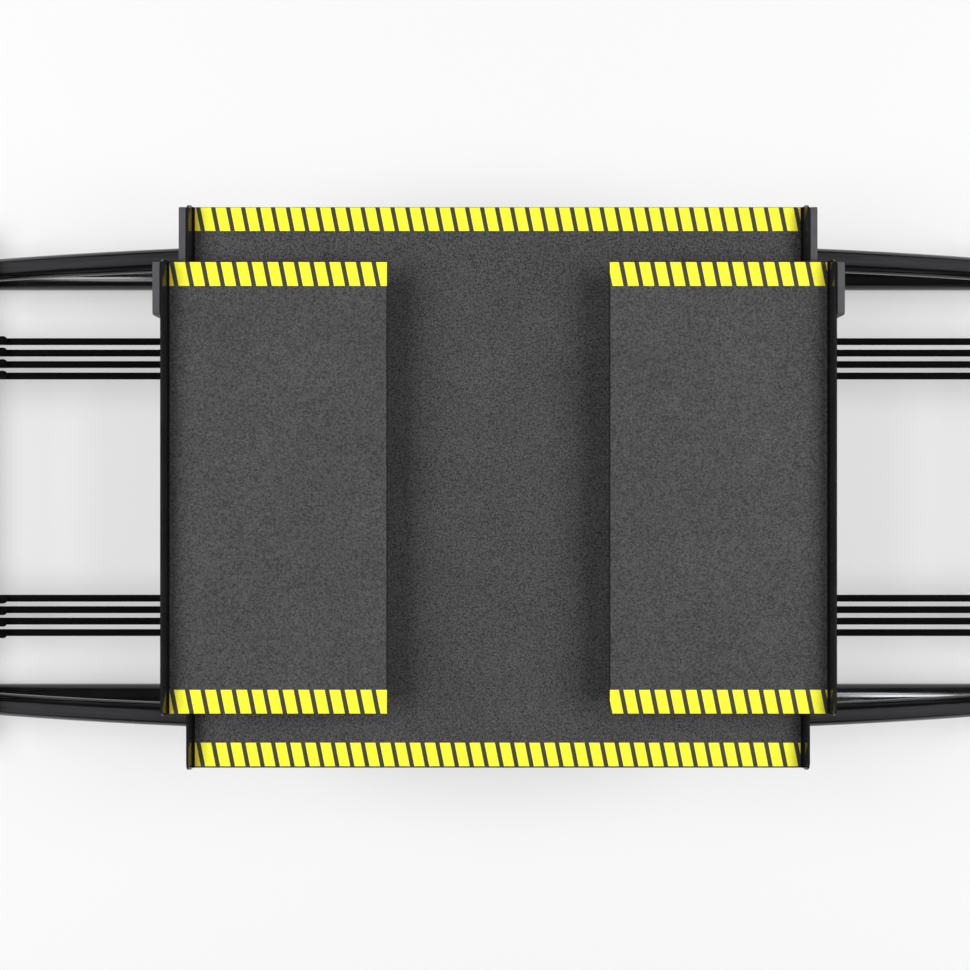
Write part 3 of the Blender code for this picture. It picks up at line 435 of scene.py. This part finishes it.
# Each kind of finish: the material's name, what draws it, and what that is told. Every
# drawing returns the inputs of its shader.
MATERIALS = {
    "powder": ("powder_coated_steel", powder_coated_steel, "frame_black"),
    "sheet": ("powder_coated_sheet_steel", powder_coated_steel, "sheet_black"),
    "rail": ("running_rail_steel", running_rail_steel),
    "deck_grit": ("deck_grit_coating", grit_coating, "deck_grit", 0.72, 0.18),
    "foot_grit": ("foot_grit_coating", grit_coating, "foot_grit", 0.60, 0.30),
    "deck_yellow": ("printed_vinyl_yellow_deck", yellow_vinyl, DECK_COAT_X),
    "foot_yellow": ("printed_vinyl_yellow_platforms", yellow_vinyl, FOOT_COAT_X),
    "tape_ground": ("printed_vinyl_grey", grey_vinyl),
    "cord": ("braided_cover", braided_cover),
    "rubber": ("moulded_rubber", moulded_rubber),
    "sealer": ("brushed_seam_sealer", brushed_sealer),
    "zinc": ("zinc_plated_steel", zinc_plated_steel),
    "plate": ("satin_grey_coat", satin_grey_coat),
    "roller": ("cast_polyurethane", cast_polyurethane),
    "floor": ("studio_floor", studio_floor),
}
made_materials = {}


def finish_of(kind):
    """The material of that kind, made once. A colour is told by its name in the panel."""
    if kind not in made_materials:
        name, draw, *told = MATERIALS[kind]
        told = [getattr(colours(), v) if isinstance(v, str) else v for v in told]
        made = made_materials[kind] = bpy.data.materials.new(name)
        made.use_nodes = True
        made.node_tree.nodes.clear()
        add = partial(add_node, made.node_tree)
        shader = add("BsdfPrincipled", draw(add, *told))
        add("OutputMaterial", {"Surface": shader})
    return made_materials[kind]


# ---- working on a piece


def deselect_all():
    if bpy.context.mode != "OBJECT":
        bpy.ops.object.mode_set(mode="OBJECT")
    bpy.ops.object.select_all(action="DESELECT")


def take(piece):
    """Makes a piece the only one selected, and the active one."""
    deselect_all()
    piece.select_set(True)
    bpy.context.view_layer.objects.active = piece
    return piece


def settle(piece):
    """Puts the piece's place, turn and scale into its mesh."""
    take(piece)
    bpy.ops.object.transform_apply(location=True, rotation=True, scale=True)
    return piece


@contextmanager
def editing():
    """Edit mode for the steps inside it."""
    bpy.ops.object.mode_set(mode="EDIT")
    yield
    bpy.ops.object.mode_set(mode="OBJECT")


def choose(piece, test, kind="FACE"):
    """In edit mode, selects only the faces, edges or corners that pass a test."""
    bpy.ops.mesh.select_mode(type=kind)
    bpy.ops.mesh.select_all(action="DESELECT")
    working = bmesh.from_edit_mesh(piece.data)
    parts = {"FACE": working.faces, "EDGE": working.edges, "VERT": working.verts}[kind]
    for part in parts:
        if test(part):
            part.select_set(True)
    working.select_flush_mode()
    bmesh.update_edit_mesh(piece.data)


def choose_edges_along(piece, axis, least=1e-4):
    """In edit mode, selects only the edges that reach at least that far along an axis."""
    choose(piece, lambda e: abs(e.verts[0].co[axis] - e.verts[1].co[axis]) > least, "EDGE")


def apply_modifier(piece, kind, **settings):
    """Adds a modifier, sets it and applies it."""
    take(piece)
    made = piece.modifiers.new(kind.title(), kind)
    for name, value in settings.items():
        setattr(made, name, value)
    bpy.ops.object.modifier_apply(modifier=made.name)
    return piece


def round_edges(piece, width):
    """Rounds off a piece's sharp edges."""
    return apply_modifier(piece, "BEVEL", width=width, segments=2, limit_method="ANGLE")


def complete(piece, name, kinds, body=None, slot=None, smooth=35):
    """Names a finished piece, gives it its materials and ties it to its body."""
    piece.name = piece.data.name = name
    if not piece.data.materials:
        for kind in kinds:
            piece.data.materials.append(finish_of(kind))
    take(piece)
    bpy.ops.object.shade_smooth_by_angle(angle=math.radians(smooth), keep_sharp_edges=False)
    if body:
        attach(piece, body)
    return piece


def copy_moved(piece, move, turn=None):
    """A copy with its own mesh, turned about the origin and moved."""
    made = piece.copy()
    made.data = piece.data.copy()
    for key in list(made.keys()):
        if key.startswith("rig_"):
            del made[key]
    made.parent = None
    bpy.context.scene.collection.objects.link(made)
    made.data.transform(Matrix.Translation(move) @ (turn or Matrix.Identity(4)))
    return made


def block(low, high):
    """A plain block between two corners, to be shaped."""
    deselect_all()
    bpy.ops.mesh.primitive_cube_add(size=1, location=(low + high) / 2, scale=high - low)
    return settle(bpy.context.object)


def prism(sides, radius, tall, middle):
    """An upright prism or cylinder over the origin, to be shaped."""
    deselect_all()
    bpy.ops.mesh.primitive_cylinder_add(
        vertices=sides, radius=radius, depth=tall, location=(0, 0, middle)
    )
    return settle(bpy.context.object)


def thin_slab(low, high, rounding):
    """A thin sheet between two corners, with its upper edges rounded off."""
    low, high = Vector(low), Vector(high)
    made = block(low, high)
    with editing():
        choose(made, lambda e: all(v.co.z > high.z - TOUCHING for v in e.verts), "EDGE")
        bpy.ops.mesh.bevel(offset=rounding, segments=2, affect="EDGES")
    return made


def half_cords():
    """Each half cord: its row and number, side, way outwards, way to its row, and y."""
    for row, rear in REAR_FRONT:
        for i in range(1, 5):
            low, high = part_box(f"cord_{row}_{i}")
            for side, right in LEFT_RIGHT:
                yield f"{row}_{i}", side, right, rear, (low.y + high.y) / 2


# ---- the pieces


class DressFrame(bpy.types.Operator):
    """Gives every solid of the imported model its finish"""

    bl_idname = "ski_simulator.dress_frame"
    bl_label = "Finish the frame"

    def execute(self, context):
        kinds = {
            "powder": (
                "base_tube", "crossbar", "truck", "cross_tie", "cord_hanger", "cord_clamp",
            ),
            "sheet": ("deck_pan", "foot_pan"),
            "rail": ("arch_rail",),
            "plate": ("deck_corner", "foot_corner", "pivot_block"),
            "zinc": ("anchor_rod", "axle", "pivot_shaft"),
            "roller": ("upper_roller", "lower_roller"),
            "rubber": ("foot_boot", "end_stop", "cushion"),
            "cord": ("cord_rear", "cord_front"),
        }
        for name, piece in frame["nodes"].items():
            kind = next(kind for kind, starts in kinds.items() if name.startswith(starts))
            piece.data.materials.clear()
            piece.data.materials.append(finish_of(kind))
        return {"FINISHED"}


class SmoothSolids(bpy.types.Operator):
    """Puts a merged, smoothly shaded copy in the place of every rigid solid, so that
    pipes, rollers and folded edges reflect as round"""

    bl_idname = "ski_simulator.smooth_solids"
    bl_label = "Smooth solids"

    def execute(self, context):
        record = frame["record"]
        bodies = {
            node: body
            for body, nodes in record["behaviour"]["bodies"].items()
            for node in nodes
        }
        slots = {part["node"]: part["material_slot"] for part in record["subparts"]}
        for name, piece in list(frame["nodes"].items()):
            if name.startswith(("cord_rear", "cord_front", "cushion")):
                continue
            made = copy_moved(piece, (0, 0, 0))
            take(made)
            with editing():
                bpy.ops.mesh.select_all(action="SELECT")
                bpy.ops.mesh.remove_doubles(threshold=TOUCHING)
            bpy.ops.mesh.customdata_custom_splitnormals_clear()
            complete(made, f"{name}_smooth", [], bodies[name], slots[name])
            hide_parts(name)
            lit = bpy.data.collections.get(f"lit_{name}")
            if lit:
                lit.objects.link(made)
        return {"FINISHED"}


class AddGripCoating(bpy.types.Operator):
    """Adds the rolled-on grit coating of the deck and of both platforms"""

    bl_idname = "ski_simulator.add_grip_coating"
    bl_label = "Grip coating"

    def execute(self, context):
        bare = 0.0005  # the front and rear edges' strip without coating
        made = self.coating(-DECK_COAT_X, DECK_COAT_X, deck_high.y - bare, DECK_TOP)
        complete(made, "deck_grit", ["deck_grit"], "carriage", "grip_deck")
        inner = foot_low.x + 0.0004  # just within the platform's inner edge
        for side, right in LEFT_RIGHT:
            low_x, high_x = sorted((right * inner, right * FOOT_COAT_X))
            made = self.coating(low_x, high_x, foot_high.y - bare, FOOT_TOP)
            complete(made, f"foot_grit_{side}", ["foot_grit"], f"{side}_foot", "grip_foot")
        return {"FINISHED"}

    def coating(self, low_x, high_x, reach_y, base):
        low, high = (low_x, -reach_y, base - COAT_ROOT), (high_x, reach_y, base + COAT)
        return thin_slab(low, high, COAT_ROUNDING)


class AddFoldSealer(bpy.types.Operator):
    """Adds the black seam sealer along the folds of the deck and of both platforms"""

    bl_idname = "ski_simulator.add_fold_sealer"
    bl_label = "Fold sealer"

    def execute(self, context):
        bare = 0.0006  # where the sealer stops short of the front and rear edges
        deck = (0.31335, 0.31555, deck_high.y - bare, DECK_TOP)
        foot = (0.32705, 0.32905, foot_high.y - bare, FOOT_TOP)
        for side, right in LEFT_RIGHT:
            places = (("deck", deck, "carriage"), ("foot", foot, f"{side}_foot"))
            for place, seam, body in places:
                made = self.fillet(right, *seam)
                complete(made, f"{place}_sealer_{side}", ["sealer"], body, "rubber")
        return {"FINISHED"}

    def fillet(self, right, inner, outer, reach_y, base):
        """A bead in the corner between the sheet, at base, and a flange, at outer,
        sloping up to the flange and brushed uneven along its length."""
        tall, slope, uneven, waves = 0.0020, 0.0016, 0.00012, (310.0, 97.0)
        low_x, high_x = sorted((right * inner, right * outer))
        deselect_all()
        bpy.ops.mesh.primitive_cube_add(
            size=1, location=((low_x + high_x) / 2, 0, base + tall / 2 - COAT_ROOT / 2),
            scale=(high_x - low_x, 2 * reach_y, tall + COAT_ROOT),
        )
        made = settle(bpy.context.object)
        least_z, edge_x = base + tall - 5e-4, right * inner

        def upper_inner(edge):
            return all(v.co.z > least_z and abs(v.co.x - edge_x) < 1e-5 for v in edge.verts)

        with editing():
            choose(made, upper_inner, "EDGE")
            bpy.ops.mesh.bevel(offset=slope, segments=4, profile=0.35, affect="EDGES")
            choose_edges_along(made, 1, 0.1)
            bpy.ops.mesh.subdivide(number_cuts=60)
        for vertex in made.data.vertices:
            x, y, z = vertex.co
            if z > base + 0.0002 and abs(abs(x) - outer) > 1e-4:
                vertex.co.z += uneven * math.sin(y * waves[0]) * math.sin(y * waves[1])
        return made


class AddHazardTape(bpy.types.Operator):
    """Adds the striped tape along the front and rear edges of the deck and platforms"""

    bl_idname = "ski_simulator.add_hazard_tape"
    bl_label = "Hazard tape"

    def execute(self, context):
        inner = 0.1109  # from the middle to a platform's inner edge
        deck = (-DECK_COAT_X, 0.3131)
        left, right = (-FOOT_COAT_X, -inner), (inner, FOOT_COAT_X)
        rear, front = (0.2005, 0.2242), (-0.2248, -0.2012)
        # name, body, left and right end, front and rear edge, left end of a stripe
        strips = (
            ("deck_tape_rear", "carriage", deck, (0.2653, 0.2895), 0.00134),
            ("deck_tape_front", "carriage", deck, (-0.2884, -0.2641), 0.00151),
            ("foot_tape_rear_left", "left_foot", left, rear, -0.12175),
            ("foot_tape_front_left", "left_foot", left, front, -0.12186),
            ("foot_tape_rear_right", "right_foot", right, rear, 0.30970),
            ("foot_tape_front_right", "right_foot", right, front, 0.30970),
        )
        for name, body, across, along, first in strips:
            place, top = ("deck", DECK_TOP) if body == "carriage" else ("foot", FOOT_TOP)
            kinds = ["tape_ground", f"{place}_yellow"]
            made = self.band(across, along, top + COAT, first, kinds)
            complete(made, name, kinds, body)
        return {"FINISHED"}

    def band(self, across, along, base, first, kinds):
        """A strip of tape cut along its stripes, from left to right and from front to
        rear. first is a stripe's left end at the rear edge."""
        s = sizes()
        root, rounding = 0.00005, 0.00006
        (low_x, high_x), (front_y, rear_y) = across, along
        top = base + s.tape_thickness
        made = thin_slab((low_x, front_y, base - root), (high_x, rear_y, top), rounding)
        lean = s.tape_lean
        start = first + lean * rear_y
        low_phase = low_x + lean * front_y
        high_phase = high_x + lean * rear_y
        count_low = math.floor((low_phase - start) / s.tape_pitch)
        count_high = math.ceil((high_phase - start) / s.tape_pitch)
        with editing():
            for count in range(count_low, count_high + 1):
                for edge in (0.0, s.tape_stripe):
                    place = start + count * s.tape_pitch + edge
                    if low_phase < place < high_phase:
                        bpy.ops.mesh.select_all(action="SELECT")
                        bpy.ops.mesh.bisect(
                            plane_co=(place - lean * rear_y, rear_y, base),
                            plane_no=(1, lean, 0),
                        )
        for kind in kinds:
            made.data.materials.append(finish_of(kind))
        for face in made.data.polygons:
            phase = (face.center.x + lean * face.center.y - start) % s.tape_pitch
            face.material_index = 1 if phase < s.tape_stripe else 0
        return made


class AddCords(bpy.types.Operator):
    """Adds the eight elastic cords, each as two halves that meet inside the clamp"""

    bl_idname = "ski_simulator.add_cords"
    bl_label = "Elastic cords"

    def execute(self, context):
        for cord, side, right, rear, y in half_cords():
            node = f"cord_{cord}"
            route = self.half_route(right, y, rear)
            piece = self.tube(route, sizes().cord_diameter / 2)
            complete(piece, f"{node}_{side}", ["cord"], None, "cord", 60)
            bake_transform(piece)
            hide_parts(node)
        return {"FINISHED"}

    def half_route(self, right, y, rear):
        """From inside the clamp to the rod, round it, and back on top to the tail's end."""
        radius, rod_radius = sizes().cord_diameter / 2, 0.005
        rod_z = CORD_Z + radius + CORD_GAP + rod_radius
        wrap = rod_radius + CORD_GAP + radius
        stacked = CORD_Z + 2 * radius + CORD_GAP
        aside = rear * TAIL_ASIDE
        points = [(ROD_X * i / 36, y, CORD_Z) for i in range(36)]
        for i in range(17):
            turn = math.radians(-90 + 180 * i / 16)
            points.append((ROD_X + wrap * math.cos(turn), y, rod_z + wrap * math.sin(turn)))
        ease = 0.4 * sizes().cord_tail
        for i in range(1, 9):
            share = i / 8
            eased = share * share * (3 - 2 * share)
            drop = rod_z + wrap + (stacked - rod_z - wrap) * eased
            points.append((ROD_X - ease * share, y + aside * eased, drop))
        end = ROD_X - sizes().cord_tail + radius
        for i in range(1, 5):
            points.append((ROD_X - ease + (end - ROD_X + ease) * i / 4, y + aside, stacked))
        return [Vector((right * x, along, z)) for x, along, z in points]

    def tube(self, route, radius, sides=14):
        """A tube along the route with a flat start and a rounded end, and a cord UV map."""
        rings, travelled, total = [], [], 0.0
        for i, point in enumerate(route):
            before, after = route[max(i - 1, 0)], route[min(i + 1, len(route) - 1)]
            total += (point - before).length
            rings.append((point, (after - before).normalized(), radius))
            travelled.append(total)
        tip, ahead = rings[-1][0], rings[-1][1]
        for i in range(1, 5):
            turn = math.radians(90 * i / 4.4)  # so that a small flat is left at the tip
            reach = radius * math.sin(turn)
            rings.append((tip + ahead * reach, ahead, radius * math.cos(turn)))
            travelled.append(total + reach)
        sideways = Vector((0, 1, 0))
        mesh = bmesh.new()
        layer = mesh.loops.layers.uv.new("cord")
        turns = [2 * math.pi * k / sides for k in range(sides)]
        loops = []
        for point, ahead, wide in rings:
            up = sideways.cross(ahead).normalized()
            across = ahead.cross(up).normalized()
            loops.append([
                mesh.verts.new(point + wide * (across * math.cos(t) + up * math.sin(t)))
                for t in turns
            ])
        for i in range(len(loops) - 1):
            for k in range(sides):
                steps = ((i, k), (i, k + 1), (i + 1, k + 1), (i + 1, k))
                face = mesh.faces.new([loops[ring][turn % sides] for ring, turn in steps])
                for loop, (ring, turn) in zip(face.loops, steps):
                    loop[layer].uv = (travelled[ring], turn / sides)
        mesh.faces.new(loops[0])
        mesh.faces.new(loops[-1])
        bmesh.ops.recalc_face_normals(mesh, faces=mesh.faces)
        data = bpy.data.meshes.new("cord")
        mesh.to_mesh(data)
        mesh.free()
        made = bpy.data.objects.new("cord", data)
        bpy.context.scene.collection.objects.link(made)
        return made


class AddCordCrimps(bpy.types.Operator):
    """Adds the steel bands that hold each cord's tail to its run"""

    bl_idname = "ski_simulator.add_cord_crimps"
    bl_label = "Cord crimps"

    def execute(self, context):
        crimp_x = 0.606
        pattern = self.band()
        for cord, side, right, rear, y in half_cords():
            flip = Matrix.Scale(rear, 4, (0, 1, 0))
            made = copy_moved(pattern, (right * crimp_x, y, CORD_Z), flip)
            if rear < 0:
                take(made)
                with editing():
                    bpy.ops.mesh.select_all(action="SELECT")
                    bpy.ops.mesh.normals_make_consistent(inside=False)
            complete(made, f"crimp_{cord}_{side}", ["zinc"], "frame", "bare_steel")
        bpy.data.objects.remove(pattern, do_unlink=True)
        return {"FINISHED"}

    def band(self):
        """An oval band round two cords, one on the other, about the lower cord's middle."""
        clearance, wall = 0.0001, 0.0009
        deselect_all()
        radius = sizes().cord_diameter / 2
        bpy.ops.mesh.primitive_cylinder_add(
            vertices=32, radius=radius + clearance, depth=sizes().crimp_length,
            end_fill_type="NOTHING", rotation=(0, math.pi / 2, 0),
        )
        made = settle(bpy.context.object)
        with editing():
            choose(made, lambda v: v.co.z > 1e-5, "VERT")
            bpy.ops.transform.translate(value=(0, TAIL_ASIDE, 2 * radius + CORD_GAP))
        apply_modifier(made, "SOLIDIFY", thickness=wall, offset=1.0)
        return round_edges(made, 0.00025)


class AddCushions(bpy.types.Operator):
    """Adds the ribbed rubber cushions between the deck and the platforms"""

    bl_idname = "ski_simulator.add_cushions"
    bl_label = "Rubber cushions"

    def execute(self, context):
        for side in ("left", "right"):
            for place in ("inner", "outer"):
                node = f"cushion_{side}_{place}"
                low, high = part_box(node)
                made = self.buffer(low, high)
                complete(made, f"{node}_rubber", ["rubber"], None, "rubber", 50)
                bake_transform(made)
                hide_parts(node)
        return {"FINISHED"}

    def buffer(self, low, high):
        """A block with two waists and rounded ends, flat where it rests."""
        corner, waist_depth, end_depth, end_share = 0.0055, 0.0022, 0.0008, 0.06
        made = block(low, high)
        with editing():
            choose_edges_along(made, 2)
            bpy.ops.mesh.bevel(offset=corner, segments=4, affect="EDGES")
            choose_edges_along(made, 2)
            bpy.ops.mesh.subdivide(number_cuts=15)
        middle, tall = (low + high) / 2, high.z - low.z
        for vertex in made.data.vertices:
            share = (vertex.co.z - low.z) / tall
            waist = 0.5 - 0.5 * math.cos(4 * math.pi * share)
            edge = max(0.0, 1 - min(share, 1 - share) / end_share) ** 2
            pull = waist_depth * waist + end_depth * edge
            for axis in (0, 1):
                side = 1 if vertex.co[axis] > middle[axis] else -1
                vertex.co[axis] -= side * pull
        return made


class AddScrews(bpy.types.Operator):
    """Adds the socket screws of the bearing blocks and the bolts of the cord clamp"""

    bl_idname = "ski_simulator.add_screws"
    bl_label = "Screws and bolts"

    def execute(self, context):
        from_end, foot_thickness = 0.0065, 0.006  # of a bearing block
        socket, bolt = self.socket_screw(), self.hex_bolt()
        finish = (["zinc"], "carriage", "bare_steel")
        for side, _ in LEFT_RIGHT:
            for end, _ in REAR_FRONT:
                low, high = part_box(f"pivot_block_{end}_{side}")
                y, seat = (low.y + high.y) / 2, low.z + foot_thickness
                for place, x in (("left", low.x + from_end), ("right", high.x - from_end)):
                    made = copy_moved(socket, (x, y, seat))
                    complete(made, f"block_screw_{end}_{side}_{place}", *finish)
        upside_down = Matrix.Rotation(math.pi, 4, "X")
        clamp_end = 0.085
        for name, y in (("rear", clamp_end), ("middle", 0.0), ("front", -clamp_end)):
            made = copy_moved(bolt, (0, y, clamp_low.z), upside_down)
            complete(made, f"clamp_bolt_{name}", *finish)
        hanger_x, hanger_y, hanger_foot = 0.018, 0.088, 0.006
        foot_under = hanger_high.z - hanger_foot
        for side, right in LEFT_RIGHT:
            for end, rear in REAR_FRONT:
                place = (right * hanger_x, rear * hanger_y, foot_under)
                made = copy_moved(bolt, place, upside_down)
                complete(made, f"hanger_bolt_{end}_{side}", *finish)
        for pattern in (socket, bolt):
            bpy.data.objects.remove(pattern, do_unlink=True)
        return {"FINISHED"}

    def socket_screw(self):
        """A cap screw's head standing on z = 0, with its hexagon socket."""
        made = round_edges(prism(32, radius=0.00425, tall=0.005, middle=0.0025), 0.0004)
        hole = prism(6, radius=0.0023, tall=0.006, middle=0.0055)
        apply_modifier(made, "BOOLEAN", operation="DIFFERENCE", object=hole, solver="EXACT")
        bpy.data.objects.remove(hole, do_unlink=True)
        return made

    def hex_bolt(self):
        """A hexagon head on its washer, standing on z = 0."""
        washer = round_edges(prism(32, radius=0.0062, tall=0.0012, middle=0.0006), 0.0003)
        made = prism(6, radius=0.0058, tall=0.0040, middle=0.0032)
        with editing():
            choose(made, lambda f: f.normal.z > 0.9)
            bpy.ops.mesh.inset(thickness=0.0009, depth=0.0)
            bpy.ops.transform.translate(value=(0, 0, 0.0004))
        take(round_edges(made, 0.00025))
        washer.select_set(True)
        bpy.ops.object.join()
        return bpy.context.object


class AddWeldBeads(bpy.types.Operator):
    """Adds the fillet welds round the floor tubes' ends and along the rod lugs"""

    bl_idname = "ski_simulator.add_weld_beads"
    bl_label = "Weld beads"

    def execute(self, context):
        finish = (["powder"], "frame", "gloss_black", 70)
        sunk = 0.0004  # how far a ring's middle lies within the tube's end
        for end, _ in REAR_FRONT:
            low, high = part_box(f"base_tube_{end}")
            middle = (low + high) / 2
            for side, right in LEFT_RIGHT:
                made = self.ring(
                    (right * (high.x - sunk), middle.y, middle.z),
                    TUBE_RADIUS, sizes().bead_radius,
                )
                complete(made, f"weld_tube_{end}_{side}", *finish)
        half, top, radius = 0.010, 0.0370, 0.0016  # of a lug's beads, on its crossbar
        rod_beyond = 0.0073  # from a lug's middle to the rod's end
        face = 0.003  # from a lug's middle to its faces
        first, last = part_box("cord_rear_1"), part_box("cord_rear_4")
        bundle = (first[0].y + first[1].y + last[0].y + last[1].y) / 4
        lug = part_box("anchor_rod_right")[1].y - rod_beyond - bundle
        for side, _ in LEFT_RIGHT:
            low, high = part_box(f"crossbar_{side}")
            middle = (low.x + high.x) / 2
            for end, rear in REAR_FRONT:
                for place, step in (("a", -face), ("b", face)):
                    for lug_side, out in (("inner", -1), ("outer", 1)):
                        y = rear * (bundle + out * lug + step)
                        ends = [Vector((middle + way * half, y, top)) for way in (-1, 1)]
                        made = self.bead(*ends, radius)
                        complete(made, f"weld_lug_{side}_{end}_{lug_side}_{place}", *finish)
        return {"FINISHED"}

    def ring(self, middle, round_radius, radius):
        """A rippled bead round the end of a tube that runs along X."""
        deselect_all()
        bpy.ops.mesh.primitive_torus_add(
            major_radius=round_radius, minor_radius=radius, major_segments=144,
            minor_segments=8, location=middle, rotation=(0, math.pi / 2, 0),
        )
        made = settle(bpy.context.object)
        centre = Vector(middle)
        for vertex in made.data.vertices:
            turn = math.atan2(vertex.co.y - centre.y, vertex.co.z - centre.z)
            spine = centre + round_radius * Vector((0, math.sin(turn), math.cos(turn)))
            ripple = 1.0 + WELD_RIPPLE * math.cos(48 * turn)
            vertex.co = spine + (vertex.co - spine) * ripple
        return made

    def bead(self, start, stop, radius):
        """A row of ripples between two points, tapered at both ends."""
        ring_spacing, ripple_length, end_size = 0.0005, 0.0021, 0.45
        deselect_all()
        line = stop - start
        turn = line.to_track_quat("Z", "Y").to_euler()
        bpy.ops.mesh.primitive_cylinder_add(
            vertices=10, radius=radius, depth=line.length, location=(start + stop) / 2,
            rotation=turn,
        )
        made = take(bpy.context.object)
        bpy.ops.object.transform_apply(location=False, rotation=False, scale=True)
        with editing():
            choose_edges_along(made, 2)
            bpy.ops.mesh.subdivide(number_cuts=max(6, int(line.length / ring_spacing)))
        half = line.length / 2
        for vertex in made.data.vertices:
            from_end = max(0.0, half - abs(vertex.co.z))
            taper = min(1.0, end_size + 0.55 * (from_end / (2 * radius)) ** 0.5)
            ripple = 1.0 + WELD_RIPPLE * math.cos(2 * math.pi * vertex.co.z / ripple_length)
            vertex.co.x *= taper * ripple
            vertex.co.y *= taper * ripple
        return settle(made)


# ---- stage


class SetStage(bpy.types.Operator):
    """Adds the floor, the soft studio light and the camera straight above"""

    bl_idname = "ski_simulator.set_stage"
    bl_label = "Floor, light and camera"

    def execute(self, context):
        floor_size, under_boots = 30, -0.0002
        deselect_all()
        bpy.ops.mesh.primitive_plane_add(size=floor_size, location=(0, 0, under_boots))
        floor = settle(bpy.context.object)
        floor.name = floor.data.name = "floor"
        floor.data.materials.append(finish_of("floor"))
        self.room()
        for side, x, power in (("left", -2.5, 119.0), ("right", 2.5, 113.0)):
            self.lamp(f"softbox_{side}", (x, 0.2, 2.75), (3.0, 2.4), power, "#FFFFFF")
        strip_width = 0.40
        # a strip is two lamps that start at one end: rear end, front end, share of power
        for rear, front, share in ((0.8, -1.8, 1.0), (0.8, -0.7, 0.7)):
            middle, size = (rear + front) / 2, (rear - front, strip_width)
            for name, place, power, hex_value, only in (
                ("strip_left", (-1.33, middle, 1.93), 17.0, "#FFFFFF", "base_tube_rear"),
                ("strip_right", (1.38, -middle, 1.93), 36.0, "#F8FBFF", "base_tube_front"),
            ):
                self.lamp(name, place, size, power * share, hex_value, only)
        sensor_width, focal_pixels, picture_pixels = 36.0, 976.0, 970.0
        camera = bpy.data.cameras.new("camera")
        camera.sensor_width = sensor_width
        camera.lens = sensor_width * focal_pixels / picture_pixels
        camera.clip_start = 0.01
        holder = bpy.data.objects.new("camera", camera)
        holder.location = (-0.0133, 0.0025, sizes().camera_height)
        bpy.context.scene.collection.objects.link(holder)
        bpy.context.scene.camera = holder
        bpy.context.scene.view_settings.view_transform = "Standard"
        return {"FINISHED"}

    def lamp(self, name, place, size, power, hex_value, only=None):
        """A rectangular softbox, its first size level, turned to the machine's long
        axis. The large ones aren't mirrored by gloss, and a strip lights only the one
        pipe that it is there to show as round."""
        data = bpy.data.lights.new(name, "AREA")
        data.shape = "RECTANGLE"
        data.size, data.size_y = size
        data.energy = power
        data.color = linear(hex_value)[:3]
        made = bpy.data.objects.new(name, data)
        made.location = place
        aim = Vector((0, place[1], 0.1)) - Vector(place)
        made.rotation_euler = aim.to_track_quat("-Z", "Y").to_euler()
        bpy.context.scene.collection.objects.link(made)
        made.visible_glossy = bool(only)
        if only:
            name = f"lit_{only}"
            lit = bpy.data.collections.get(name) or bpy.data.collections.new(name)
            made.light_linking.receiver_collection = lit
            made.light_linking.blocker_collection = lit

    def room(self):
        """A dim studio, paler at the foot of its walls, so that gloss stays black
        towards the ceiling."""
        world = bpy.data.worlds.new("room")
        bpy.context.scene.world = world
        world.use_nodes = True
        world.node_tree.nodes.clear()
        add = partial(add_node, world.node_tree)
        above, foot = (0.08, 0.08, 0.082, 1), (0.25, 0.25, 0.251, 1)
        way = add("TexCoord").outputs["Generated"]
        up = add("SeparateXYZ", {0: way}).outputs[2]
        low = add("MapRange", {0: up, 1: 0.05, 2: 0.20, 3: 1.0, 4: 0.0})
        light = add("Mix", {0: low, 6: above, 7: foot}, data_type="RGBA")
        sky = add("Background", {"Color": light.outputs[2]})
        add("OutputWorld", {"Surface": sky})


class SkiSimPanel(bpy.types.Panel):
    """Lists the steps that dress the ski simulator"""

    bl_idname = "VIEW3D_PT_ski_simulator"
    bl_label = "Ski simulator"
    bl_space_type = "VIEW_3D"
    bl_region_type = "UI"
    bl_category = "Ski simulator"

    def draw(self, context):
        column = self.layout.column()
        for step in STEPS:
            column.operator(step.bl_idname, text=step.bl_label)
        for group in (context.scene.ski_sim_sizes, context.scene.ski_sim_colours):
            for name in group.__annotations__:
                column.prop(group, name)


STEPS = (
    SetStage, AddCords, DressFrame, SmoothSolids, AddGripCoating, AddFoldSealer,
    AddHazardTape, AddCordCrimps, AddCushions, AddScrews, AddWeldBeads,
)
CLASSES = (SkiSimSizes, SkiSimColours, *STEPS, SkiSimPanel)


def register():
    for made in CLASSES:
        bpy.utils.register_class(made)
    bpy.types.Scene.ski_sim_sizes = bpy.props.PointerProperty(type=SkiSimSizes)
    bpy.types.Scene.ski_sim_colours = bpy.props.PointerProperty(type=SkiSimColours)


def unregister():
    del bpy.types.Scene.ski_sim_colours
    del bpy.types.Scene.ski_sim_sizes
    for made in reversed(CLASSES):
        bpy.utils.unregister_class(made)


def main():
    register()
    for step in STEPS:
        group, name = step.bl_idname.split(".")
        getattr(getattr(bpy.ops, group), name)()
    deselect_all()


if __name__ == "__main__":
    main()
